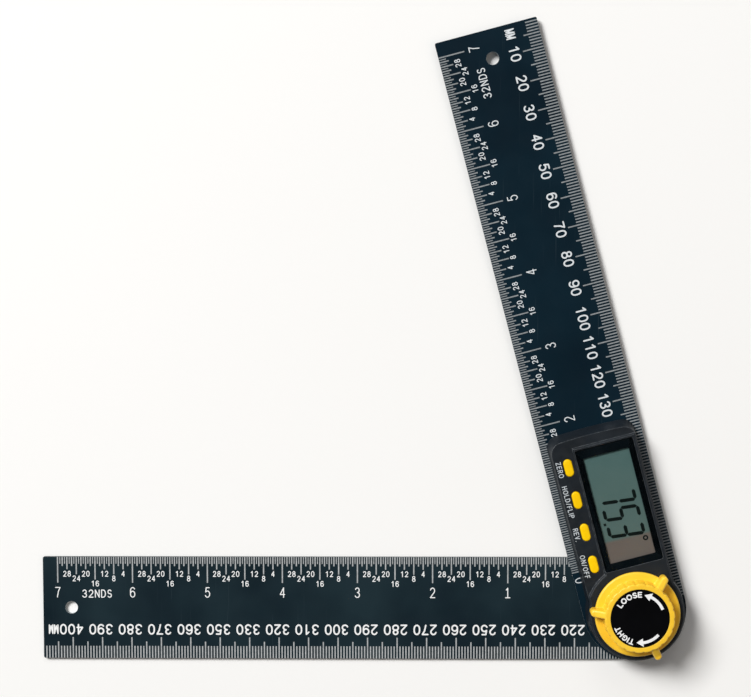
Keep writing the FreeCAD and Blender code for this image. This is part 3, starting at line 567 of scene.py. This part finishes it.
MM_TYPE = Lettering(height=3.65, pen=0.51, gap=0.47)
MM_WORD_TYPE = Lettering(height=3.3, pen=0.42, gap=0.16, stretch=0.56)
INCH_TYPE = Lettering(height=3.6, pen=0.32, gap=0.3, stretch=0.78)
FRACTION_TYPE = Lettering(height=2.0, pen=0.27, gap=0.34, stretch=0.88)
FRACTION_WORD_TYPE = Lettering(height=2.8, pen=0.33, gap=0.48, stretch=0.93)


def housing_side(along):
    """How far the housing's foot stands out from the display arm's middle line."""
    round_end = math.sqrt(max(HOUSING_END_RADIUS ** 2 - along ** 2, 0.0))
    return max(HOUSING_SIDE, round_end) if along < HOUSING_CORNER_START else 0.0


def add_tick(shape, arm, side, along, inner_end, width):
    """Mark from the blade's edge inwards, cut short where the housing stands on the blade."""
    if arm is DISPLAY_ARM:
        inner_end = max(inner_end, housing_side(along))
    ends = sorted((side * inner_end, side * arm.half_width))
    outline = rectangle(*ends, along - width / 2, along + width / 2)
    add_slab(shape, outline, arm.face, arm.face + PRINT_THICKNESS)


def coarsest(number, steps):
    """Largest of the steps that divides a number."""
    return max(step for step in steps if number % step == 0)


def inch_place(inches):
    return INCH_ZERO + inches * INCH


def add_millimetre_ticks(shape, arm, side):
    for tick in range(1, round(arm.tip)):
        end = MM_TICK_ENDS[coarsest(tick, MM_TICK_ENDS)]
        add_tick(shape, arm, side, arm.tip - tick, end, TICK_WIDTH)


def add_inch_ticks(shape, arm, side):
    for tick in range(INCHES * INCH_PARTS + 1):
        step = coarsest(tick, INCH_TICK_ENDS)
        width = FINE_TICK_WIDTH if step == 1 else TICK_WIDTH
        along = inch_place(tick / INCH_PARTS)
        add_tick(shape, arm, side, along, INCH_TICK_ENDS[step], width)


def reading_turn(side):
    """Direction of a scale's baseline: its numerals have their tops towards the edge."""
    return math.radians(-90 * side)


def add_word(shape, lettering, arm, side, text, centre, along):
    lettering.write(shape, text, (side * centre, along), reading_turn(side), arm.face)


def add_millimetre_numerals(shape, arm, side, labels):
    """Labels are {place from the pivot: number}."""
    for along, number in labels.items():
        shift = side * LONG_NUMERAL_SHIFT if number >= FIRST_LONG_NUMBER else 0.0
        add_word(shape, MM_TYPE, arm, side, str(number), MM_NUMERAL_CENTRE, along - shift)
    add_word(shape, MM_WORD_TYPE, arm, side, "MM", MM_NUMERAL_CENTRE, MM_WORD_ALONG)


def add_inch_numerals(shape, arm, side, clear_of, word_along):
    """Numerals farther from the pivot than clear_of, and the word that names their fractions."""
    add_word(shape, INCH_TYPE, arm, side, "0", *ORIGIN_NUMERAL)
    for inch in range(INCHES + 1):
        along = inch_place(inch)
        if along > clear_of:
            numeral = ["footed 1"] if inch == 1 else str(inch)
            add_word(shape, INCH_TYPE, arm, side, numeral, INCH_NUMERAL_CENTRE, along)
        for part, centre in FRACTION_CENTRES.items():
            along = inch_place(inch + part / INCH_PARTS)
            if inch < INCHES and along > clear_of:
                add_word(shape, FRACTION_TYPE, arm, side, str(part), centre, along)
    add_word(shape, FRACTION_WORD_TYPE, arm, side, "32NDS", FRACTION_WORD_CENTRE, word_along)


def display_labels():
    return {PIVOT_NUMBER - number: number for number in DISPLAY_NUMBERS}


def swing_labels():
    labels = {along: PIVOT_NUMBER + along for along in SWING_NUMERAL_PLACES}
    return {
        along: number if number < SKIPPED_NUMBER else number + NUMBER_STEP
        for along, number in labels.items()
    }


def make_scales(finishes):
    """Millimetres along one edge of each arm, and inches along the other."""
    plans = (
        ("display", DISPLAY_ARM, RIGHT, display_labels(), HOUSING_HIGH.y),
        ("swing", SWING_ARM, LEFT, swing_labels(), INCH_ZERO),
    )
    for name, arm, side, labels, clear_of in plans:
        ticks = bmesh.new()
        add_millimetre_ticks(ticks, arm, side)
        add_inch_ticks(ticks, arm, -side)
        make_piece(name + "_scale_ticks", ticks, finishes["tick_ink_" + name], arm)
        numerals = bmesh.new()
        add_millimetre_numerals(numerals, arm, side, labels)
        add_inch_numerals(numerals, arm, -side, clear_of, FRACTION_WORD_ALONG[name])
        make_piece(name + "_scale_numerals", numerals, finishes["ink_" + name], arm)


# ---- read-out --------------------------------------------------------------------------------

READ_OUT_LEFT = -4.6            # the opening of the window's border
READ_OUT_RIGHT = 11.0
READ_OUT_NEAR = 18.3
READ_OUT_FAR = 54.8
READ_OUT_FOOT = 25.5            # the brownish tint at the display's near end stops here
FOOT_BLEND = 0.5
READ_OUT_CORNER = 0.35
WINDOW_CORNER = 0.7
PANE_THICKNESS = 0.3
PANE_BEVEL = 0.12

READING = "753"
DIGIT_WIDTH = 3.5               # between the centres of the upright segments
DIGIT_HEIGHT = 11.2
DIGIT_FOOT = -2.2               # v of the lowest segment's centre
DIGIT_PITCH = 5.8
FIRST_DIGIT = 42.1              # u of the first digit's left side, at its foot
DIGIT_LEAN = 0.11
SEGMENT_WIDTH = 1.15
SEGMENT_GAP = 0.06
POINT_CENTRE = (-2.95, 31.4)
POINT_SIZE = 0.85
DEGREE_CENTRE = (9.05, 23.9)
DEGREE_RADIUS = 0.9
DEGREE_BORE = 0.4

# Ends of the seven segments, in digit widths and half heights.
SEGMENTS = {
    "a": ((0, 2), (1, 2)), "b": ((1, 1), (1, 2)), "c": ((1, 0), (1, 1)), "d": ((0, 0), (1, 0)),
    "e": ((0, 0), (0, 1)), "f": ((0, 1), (0, 2)), "g": ((0, 1), (1, 1)),
}
DIGIT_SEGMENTS = {"7": "abc", "5": "afgcd", "3": "abgcd"}


def read_out_glass(name):
    """Grey-green display, a little darker towards its far end, with a brownish foot."""
    finish = Finish(name, Specular_IOR_Level=0.2)
    _, u = finish.on_arm(DISPLAY_ARM)
    far = finish.ramp(u, between=(READ_OUT_FOOT * MM, READ_OUT_FAR * MM))
    colour = finish.mix(far, srgb(88, 112, 108), srgb(80, 110, 108))
    foot = finish.ramp(
        u, between=((READ_OUT_FOOT + FOOT_BLEND) * MM, (READ_OUT_FOOT - FOOT_BLEND) * MM),
    )
    colour = finish.mix(foot, colour, srgb(110, 101, 95))
    clouds = finish.patches(size=7.0, between=SOFTER, to=(0.0, 0.12))
    finish.colour(finish.mix(clouds, colour, srgb(104, 124, 118)))
    finish.roughness(finish.patches(size=3.0, between=SOFTER, to=(0.3, 0.4)))
    finish.relief(finish.noise(size=0.2), depth=0.002)
    return finish.material


def on_read_out(across, up):
    """Arm place of a point in the reading's own axes, which lean and run towards the pivot."""
    return (DIGIT_FOOT + up, FIRST_DIGIT - across - DIGIT_LEAN * up)


def add_segment(shape, start, end, level):
    """Bar with pointed ends between two points of the reading."""
    start, end = Vector(start), Vector(end)
    along = (end - start).normalized()
    across = Vector((-along.y, along.x)) * SEGMENT_WIDTH / 2
    first, last = start + along * SEGMENT_GAP, end - along * SEGMENT_GAP
    shoulder = along * SEGMENT_WIDTH / 2
    outline = [
        first, first + shoulder - across, last - shoulder - across,
        last, last - shoulder + across, first + shoulder + across,
    ]
    add_slab(shape, [on_read_out(*place) for place in outline], level, level + PRINT_THICKNESS)


def make_reading(ink, level):
    """Digits, decimal point and degree sign on the display's glass."""
    shape = bmesh.new()
    for place, digit in enumerate(READING):
        left = place * DIGIT_PITCH
        for name in DIGIT_SEGMENTS[digit]:
            start, end = (
                (left + x * DIGIT_WIDTH, y * DIGIT_HEIGHT / 2) for x, y in SEGMENTS[name]
            )
            add_segment(shape, start, end, level)
    top = level + PRINT_THICKNESS
    v, u = POINT_CENTRE
    half = POINT_SIZE / 2
    add_slab(shape, rectangle(v - half, v + half, u - half, u + half), level, top)
    outer, inner = (circle(radius, DEGREE_CENTRE) for radius in (DEGREE_RADIUS, DEGREE_BORE))
    add_frame(shape, outer, inner, level, top)
    make_piece("read_out_segments", shape, ink)


def make_window(border_finish, pane_finish):
    """Black border under a clear pane; together they stand for the display window."""
    low, high = DISPLAY_ARM.span("display_window")
    outer = rounded_rectangle(low.x, high.x, low.y, high.y, WINDOW_CORNER)
    inner = rounded_rectangle(
        READ_OUT_LEFT, READ_OUT_RIGHT, READ_OUT_NEAR, READ_OUT_FAR, READ_OUT_CORNER,
    )
    pane_foot = high.z - PANE_THICKNESS
    border = bmesh.new()
    add_frame(border, outer, inner, low.z, pane_foot)
    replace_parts(make_piece("window_border", border, border_finish), "display_window")

    rim = rounded_rectangle(
        low.x + PANE_BEVEL, high.x - PANE_BEVEL, low.y + PANE_BEVEL, high.y - PANE_BEVEL,
        WINDOW_CORNER - PANE_BEVEL,
    )
    pane = bmesh.new()
    add_layers(pane, ((outer, pane_foot), (outer, high.z - PANE_BEVEL), (rim, high.z)))
    piece = make_piece("window_pane", pane, pane_finish)
    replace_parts(piece, "display_window")


# ---- keys ------------------------------------------------------------------------------------

KEY_FLANGE = 0.6                # flange beyond the cap, hidden under the strip
KEY_FLANGE_THICKNESS = 0.55
KEY_PROUD = 0.6                 # above the button strip
KEY_ROUND = 0.45
KEY_STEPS = 5
KEY_CROWN = 0.06                # rise of the top inside its rounded edge
KEY_CREST = 0.35                # the level top's half width, as a share of the cap's
LABEL_ACROSS = -12.9
LABEL_TYPE = Lettering(height=1.75, pen=0.25, gap=0.33, stretch=1.02)
KEYS = {
    # node: (body, label, u of the label's centre)
    "zero_button": ("zero_key", "ZERO", 53.0),
    "hold_button": ("hold_key", "HOLD/FLIP", 41.9),
    "reverse_button": ("reverse_key", "REV.", 30.6),
    "power_button": ("power_key", "ON/OFF", 19.5),
}


def make_key(node, body, finish):
    """Key with a softly crowned top on its flange; it stands for the plain CAD button."""
    low, high = DISPLAY_ARM.span(node)
    centre = ((low.x + high.x) / 2, (low.y + high.y) / 2)
    flange = ((high.x - low.x) / 2, (high.y - low.y) / 2)
    cap = (flange[0] - KEY_FLANGE, flange[1] - KEY_FLANGE)
    flange_top = low.z + KEY_FLANGE_THICKNESS
    shoulder = high.z - KEY_ROUND
    sections = [(flange, low.z), (flange, flange_top), (cap, flange_top)]
    for step in range(KEY_STEPS + 1):
        angle = math.pi / 2 * step / KEY_STEPS
        inset = KEY_ROUND * (1 - math.cos(angle))
        level = shoulder + (KEY_ROUND - KEY_CROWN) * math.sin(angle)
        sections.append(((cap[0] - inset, cap[1] - inset), level))
    crest_inset = cap[0] * (1 - KEY_CREST)
    sections.append(((cap[0] - crest_inset, cap[1] - crest_inset), high.z))
    shape = bmesh.new()
    add_layers(shape, [(stadium(centre, *half), level) for half, level in sections])
    piece = make_piece(node + "_cap", shape, finish, body=body, smooth=True)
    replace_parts(piece, node)


def make_keys(finish, ink):
    labels = bmesh.new()
    strip = DISPLAY_ARM.span("zero_button")[1].z - KEY_PROUD
    for node, (body, label, along) in KEYS.items():
        make_key(node, body, finish)
        LABEL_TYPE.write(labels, label, (LABEL_ACROSS, along), reading_turn(RIGHT), strip)
    make_piece("key_labels", labels, ink)


# ---- lock knob -------------------------------------------------------------------------------

KNOB_LOW, KNOB_HIGH = (corner.z for corner in DISPLAY_ARM.span("lock_knob"))
CAP_TOP = DISPLAY_ARM.span("knob_cap")[1].z
CAP_THICKNESS = 1.0
CAP_SEAT = CAP_TOP - CAP_THICKNESS
FLANGE_RADIUS = 14.2
FLANGE_TOP = KNOB_LOW + 1.4
FLANGE_ROUND = 0.5
COLLAR_RADIUS = 11.5
COLLAR_ROUND = 0.35
WALL_DRAFT = 0.14
SCALLOPS = 22
SCALLOP_HALF_WIDTH = 0.8
SCALLOP_DEPTH = 0.27
RIB_ANGLES = (41.0, 161.0, 281.0)
RIB_HALF_WIDTH = 1.25
RIB_CENTRE = 14.65              # centre of its round tip
RIB_ROUND = 0.7
RIB_FALL = 0.58                 # slope of its back
RIB_HEAD = KNOB_HIGH - COLLAR_ROUND
FILLET = 0.7
STEEP = 30.0                    # slope of the walls under the rounded edges
CAP_BORE = 9.75
CAP_LIP = 0.5                   # level ring round the cap
SKIRT_BORE = 9.7
BOSS_RADIUS = 6.2
BOSS_TOP = 15.0
INSERT_BORE = 4.2
INSERT_FOOT = KNOB_LOW + 0.4
STUD_BORE = 2.8
UNDERSIDE_ROUND = 0.3

# (radius, level) of the corners inside the knob, from its foot to the seat of its cap.
KNOB_INSIDE = (
    (STUD_BORE, KNOB_LOW), (STUD_BORE, INSERT_FOOT), (INSERT_BORE, INSERT_FOOT),
    (INSERT_BORE, BOSS_TOP), (BOSS_RADIUS, BOSS_TOP), (BOSS_RADIUS, FLANGE_TOP),
    (SKIRT_BORE, FLANGE_TOP), (SKIRT_BORE, CAP_SEAT), (CAP_BORE, CAP_SEAT),
)

# The knob is drawn on columns round its axis. Each has points at these angles of the collar's
# edge, shares of its wall, distances from the wall's foot, and shares of the flange. Columns lie
# close together beside a rib and parallel to it, and farther off they turn radial.
CROWN_ANGLES = (0, 20, 40, 60, 78)
WALL_SHARES = (0.03, 0.25, 0.5, 0.75, 1.0)
FOOT_DISTANCES = (0.12, 0.3, 0.55)
FLANGE_SHARES = (0.2, 0.4, 0.6, 0.72, 0.82, 0.9, 0.96, 1.0)
RIB_COLUMNS = (0, 1.2, 2.2, 2.9, 3.5, 4.1, 4.6, 5.0, 5.3, 5.6, 5.9, 6.3, 6.9, 7.8, 9.0)
PARALLEL_WITHIN = 8.0           # degrees from the rib
FANNING = 14.0                  # degrees over which they turn radial


def soft_max(first, second, blend):
    """The larger of two heights, filleted where they meet."""
    overlap = max(blend - abs(first - second), 0.0) / blend
    return max(first, second) + overlap * overlap * blend / 4


def rounded_step(distance, size):
    """Drop of a rounded shoulder: level at first, then a quarter circle, then a steep wall."""
    if distance <= 0:
        return 0.0
    if distance < size:
        return size - math.sqrt(size * size - distance * distance)
    return size + (distance - size) * STEEP


def scallop_depth(angle):
    """Groove depth in the collar's wall at an angle from the first rib."""
    pitch = 2 * math.pi / SCALLOPS
    offset = (angle % pitch - pitch / 2) * COLLAR_RADIUS
    if abs(offset) > SCALLOP_HALF_WIDTH:
        return 0.0
    return SCALLOP_DEPTH * (1 + math.cos(math.pi * offset / SCALLOP_HALF_WIDTH)) / 2


def rib_height(along, across):
    """Height of a rib's surface, at a place along it from the knob's axis and across it."""
    spine = min(along, RIB_CENTRE)
    distance = math.hypot(across, along - spine)
    back = RIB_HEAD - (spine - COLLAR_RADIUS + COLLAR_ROUND) * RIB_FALL
    return back - rounded_step(distance - RIB_HALF_WIDTH + RIB_ROUND, RIB_ROUND)


def knob_height(radius, collar, rim, angle):
    """Height of the knob's outer surface, where its collar and its rim are this far out."""
    wall = KNOB_HIGH - rounded_step(radius - collar + COLLAR_ROUND, COLLAR_ROUND)
    flange_drop = rounded_step(radius - rim + FLANGE_ROUND, FLANGE_ROUND)
    body = soft_max(wall, FLANGE_TOP - min(flange_drop, FLANGE_ROUND), FILLET)
    rib = rib_height(radius * math.cos(angle), radius * math.sin(angle))
    return min(soft_max(body, rib, FILLET), KNOB_HIGH)


def knob_columns():
    """(angle of the nearest rib, angle from that rib) of each column, in degrees."""
    reach = 180 / len(RIB_ANGLES)
    last = RIB_COLUMNS[-1]
    one_side = [*RIB_COLUMNS, *(last + step for step in range(1, round(reach - last)))]
    offsets = [-offset for offset in reversed(one_side[1:])] + one_side + [reach]
    return [(rib, offset) for rib in RIB_ANGLES for offset in offsets]


def outer_radii(collar, rim):
    """Distances from the axis of a column's points on the knob's upper side."""
    crown = [collar - COLLAR_ROUND * (1 - math.sin(math.radians(a))) for a in CROWN_ANGLES]
    wall = [collar + WALL_DRAFT * share for share in WALL_SHARES]
    foot = [collar + WALL_DRAFT + distance for distance in FOOT_DISTANCES]
    flange = [foot[-1] + (rim - foot[-1]) * share for share in FLANGE_SHARES]
    return [CAP_BORE, CAP_BORE + CAP_LIP] + crown + wall + foot + flange


def knob_column(rib, offset):
    """Points of one column, from the cap's bore over the outside and back underneath."""
    rib_turn, lean = math.radians(rib), math.radians(offset)
    parallel = max(0.0, 1.0 - max(0.0, abs(offset) - PARALLEL_WITHIN) / FANNING)
    aside = (COLLAR_RADIUS + FLANGE_RADIUS) / 2 * math.sin(lean)
    collar = COLLAR_RADIUS - scallop_depth(lean + rib_turn - math.radians(RIB_ANGLES[0]))

    def angle_at(radius):
        straight = math.asin(max(-1.0, min(1.0, aside / radius)))
        return lean + parallel * (straight - lean)

    rim = FLANGE_RADIUS
    if abs(aside) < RIB_HALF_WIDTH and parallel == 1.0:
        tip = RIB_CENTRE + math.sqrt(RIB_HALF_WIDTH ** 2 - aside ** 2)
        rim = math.hypot(tip, aside)
    profile = []
    for radius in outer_radii(collar, rim):
        angle = angle_at(radius)
        profile.append((angle, radius, knob_height(radius, collar, rim, angle)))
    profile.append((angle_at(rim), rim, KNOB_LOW + UNDERSIDE_ROUND))
    profile.append((angle_at(rim), rim - UNDERSIDE_ROUND, KNOB_LOW))
    profile += [(lean, radius, level) for radius, level in KNOB_INSIDE]
    return [
        (radius * math.cos(rib_turn + angle), radius * math.sin(rib_turn + angle), level)
        for angle, radius, level in profile
    ]


def make_knob(finish):
    """Knob with its scalloped collar and filleted ribs; it stands for the CAD's sharper one."""
    columns = [knob_column(*column) for column in knob_columns()]
    shape = bmesh.new()
    add_rings(shape, zip(*columns), joined=True)
    piece = make_piece("lock_knob_body", shape, finish, body="knob", smooth=True)
    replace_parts(piece, "lock_knob")


# ---- print on the knob's cap -----------------------------------------------------------------

ARROW_WIDTH = 0.95
ARROW_HEAD_WIDTH = 2.8
ARROW_STEPS = 14
CAP_TYPE = Lettering(height=1.95, pen=0.42, gap=0.22, stretch=1.4)
CAP_WORDS = {
    # word: ((its radius, angle of its first letter), (its arrow's radius, start, neck, tip))
    "LOOSE": ((7.95, 136.5), (7.95, 7.5, 49.0, 65.5)),
    "TIGHT": ((8.15, 241.0), (8.1, 303.5, 263.0, 247.0)),
}


def add_arrow(shape, radius, start, neck, tip, level):
    """Curved arrow round the cap's middle, from start to tip, in degrees."""
    outer = arc(radius + ARROW_WIDTH / 2, start, neck, ARROW_STEPS)
    inner = arc(radius - ARROW_WIDTH / 2, start, neck, ARROW_STEPS)
    head = [
        around(radius + ARROW_HEAD_WIDTH / 2, neck), around(radius, tip),
        around(radius - ARROW_HEAD_WIDTH / 2, neck),
    ]
    add_slab(shape, outer + head + inner[::-1], level, level + PRINT_THICKNESS)


def make_cap_print(ink):
    shape = bmesh.new()
    for word, (lettering, arrow) in CAP_WORDS.items():
        CAP_TYPE.write_round(shape, word, *lettering, CAP_TOP)
        add_arrow(shape, *arrow, CAP_TOP)
    make_piece("cap_print", shape, ink, body="knob")


# ---- finishes of the frame's own pieces ------------------------------------------------------

WEARING = {
    "blade_display": ["display_blade", "battery_cover"],
    "blade_swing": ["swing_blade"],
    "housing_black": ["housing"],
    "gloss_black": ["knob_cap"],
    "read_out": ["lcd_panel"],
    "yellow": ["lock_knob"],
    "key_yellow": list(KEYS),
    "steel": [
        "pivot_hub", "hub_screws", "housing_screws", "board_screws", "clamp_stud",
        "friction_washer", "retaining_ring", "coin_cell", "battery_spring", "battery_clip",
        "dome_switches",
    ],
    "brass": ["knob_insert"],
    "board": ["circuit_board", "encoder_rotor"],
    "inner_black": ["controller_chip", "battery_cradle"],
    "rubber": ["display_connectors"],
    "white_plastic": ["slip_washer", "thrust_washer"],
    "pane": ["display_window"],
}


def dress_frame(finishes):
    """Gives every CAD node its finish."""
    for finish, nodes in WEARING.items():
        for name in nodes:
            materials = frame["nodes"][name].data.materials
            materials.clear()
            materials.append(finishes[finish])


def make_finishes():
    return {
        "blade_display": coated_steel(
            "coated_steel_display", DISPLAY_ARM, srgb(6, 25, 36), srgb(11, 34, 46),
        ),
        "blade_swing": coated_steel(
            "coated_steel_swing", SWING_ARM, srgb(15, 29, 37), srgb(29, 45, 52),
        ),
        # its edge colour is a painted highlight on the housing's rounded edges
        "housing_black": moulded(
            "housing_black", srgb(17, 23, 29), srgb(23, 30, 37), roughness=(0.4, 0.55),
            grain=0.22, depth=0.012, edge_highlight=srgb(112, 117, 122), Specular_IOR_Level=0.32,
        ),
        "gloss_black": moulded(
            "gloss_black", srgb(4, 4, 5), srgb(7, 7, 9), roughness=(0.14, 0.18),
            grain=6.0, depth=0.002, Specular_IOR_Level=0.15,
        ),
        "border": moulded(
            "window_border", srgb(3, 9, 13), srgb(5, 13, 18), roughness=(0.1, 0.18),
            grain=8.0, depth=0.003, Specular_IOR_Level=0.15,
        ),
        "inner_black": moulded(
            "inner_black", srgb(22, 22, 24), srgb(30, 30, 32), roughness=(0.45, 0.6),
            grain=0.3, depth=0.01,
        ),
        # its edge colour is a painted highlight on the knob's rounded edges
        "yellow": moulded(
            "yellow_plastic", srgb(249, 198, 44), srgb(253, 206, 56), roughness=(0.3, 0.42),
            grain=0.5, depth=0.006, edge_highlight=srgb(252, 220, 112),
        ),
        # its edge colour is a painted highlight on the keys' rounded edges
        "key_yellow": moulded(
            "key_yellow", srgb(246, 198, 0), srgb(252, 207, 2), roughness=(0.35, 0.5),
            grain=0.5, depth=0.006, edge_highlight=srgb(250, 212, 40), Specular_IOR_Level=0.2,
        ),
        "rubber": moulded(
            "rubber", srgb(190, 112, 124), srgb(206, 128, 138), roughness=(0.6, 0.75),
            grain=0.4, depth=0.02,
        ),
        "white_plastic": moulded(
            "white_plastic", srgb(222, 222, 216), srgb(236, 236, 230), roughness=(0.35, 0.5),
            grain=0.6, depth=0.01,
        ),
        "steel": turned_metal("steel", srgb(150, 152, 154), srgb(205, 207, 208)),
        "brass": turned_metal("brass", srgb(150, 112, 52), srgb(214, 172, 92)),
        "board": solder_mask("solder_mask"),
        "read_out": read_out_glass("read_out_glass"),
        "pane": clear_cover("window_pane"),
        "ink_display": printed_ink("ink_display", srgb(206, 212, 216), srgb(222, 227, 231)),
        "ink_swing": printed_ink("ink_swing", srgb(232, 234, 235), srgb(250, 251, 252)),
        "ink_keys": printed_ink("ink_keys", srgb(184, 192, 198), srgb(204, 211, 217)),
        "tick_ink_display": printed_ink(
            "tick_ink_display", srgb(122, 127, 130), srgb(150, 155, 158),
        ),
        "tick_ink_swing": printed_ink("tick_ink_swing", srgb(154, 158, 160), srgb(184, 187, 189)),
        "segment_ink": printed_ink(
            "segment_ink", srgb(6, 16, 15), srgb(12, 24, 22), roughness=(0.3, 0.4),
        ),
    }


# ---- stage -----------------------------------------------------------------------------------

CAMERA_PLACE = (-78.32, 128.63, 603.02)         # millimetres
CAMERA_TURN = (-3.863, 0.8395, -0.0714)         # degrees about X, Y and Z
CAMERA_LENS = 86.285
SENSOR_WIDTH = 36.0
STAGE_CENTRE = Vector((-0.09, 0.09, 0.0))       # metres, as all that follows
FLOOR_SIZE = 24.0
LIGHTS = {
    # name: (place from the stage's centre, size, power in watts, tint)
    "key": ((-2.13, 1.98, 2.85), 1.5, 200.0, (1.0, 0.99, 0.97)),
    "fill": ((2.7, -0.9, 3.0), 2.7, 16.5, (1.0, 0.85, 0.7)),
    "top": ((0.3, 3.3, 2.7), 1.8, 18.0, (1.0, 1.0, 1.0)),
}
WORLD_COLOUR = srgb(236, 240, 244)
WORLD_STRENGTH = 0.13


def make_floor():
    finish = Finish("floor")
    finish.colour(finish.mix(finish.noise(size=400.0), srgb(243, 243, 242), srgb(249, 249, 249)))
    finish.roughness(finish.patches(size=90.0, between=SOFTER, to=(0.75, 0.85)))
    finish.relief(finish.noise(size=3.0), depth=0.01)
    half = FLOOR_SIZE / 2
    mesh = bpy.data.meshes.new("floor")
    corners = [(x, y, 0.0) for x, y in rectangle(-half, half, -half, half)]
    mesh.from_pydata(corners, [], [(0, 1, 2, 3)])
    mesh.materials.append(finish.material)
    floor = bpy.data.objects.new("floor", mesh)
    bpy.context.scene.collection.objects.link(floor)


def add_light(name, place, size, power, tint):
    """Square soft light that faces the middle of the stage."""
    light = bpy.data.lights.new(name, "AREA")
    light.shape = "SQUARE"
    light.size = size
    light.energy = power
    light.color = tint
    lamp = bpy.data.objects.new(name, light)
    lamp.location = STAGE_CENTRE + Vector(place)
    lamp.rotation_euler = (-Vector(place)).to_track_quat("-Z", "Y").to_euler()
    bpy.context.scene.collection.objects.link(lamp)


def make_world():
    world = bpy.data.worlds.new("studio")
    world.use_nodes = True
    background = world.node_tree.nodes["Background"]
    background.inputs["Color"].default_value = WORLD_COLOUR
    background.inputs["Strength"].default_value = WORLD_STRENGTH
    bpy.context.scene.world = world
    bpy.context.scene.view_settings.view_transform = "Standard"


def make_stage():
    make_floor()
    for name, light in LIGHTS.items():
        add_light(name, *light)
    make_world()


def make_camera():
    data = bpy.data.cameras.new("camera")
    data.lens = CAMERA_LENS
    data.sensor_width = SENSOR_WIDTH
    camera = bpy.data.objects.new("camera", data)
    camera.location = Vector(CAMERA_PLACE) * MM
    camera.rotation_euler = [math.radians(turn) for turn in CAMERA_TURN]
    bpy.context.scene.collection.objects.link(camera)
    bpy.context.scene.camera = camera


def build():
    make_stage()
    make_camera()
    finishes = make_finishes()
    dress_frame(finishes)
    make_scales(finishes)
    make_window(finishes["border"], finishes["pane"])
    make_reading(finishes["segment_ink"], DISPLAY_ARM.span("lcd_panel")[1].z)
    make_keys(finishes["key_yellow"], finishes["ink_keys"])
    make_knob(finishes["yellow"])
    make_cap_print(finishes["ink_swing"])


build()
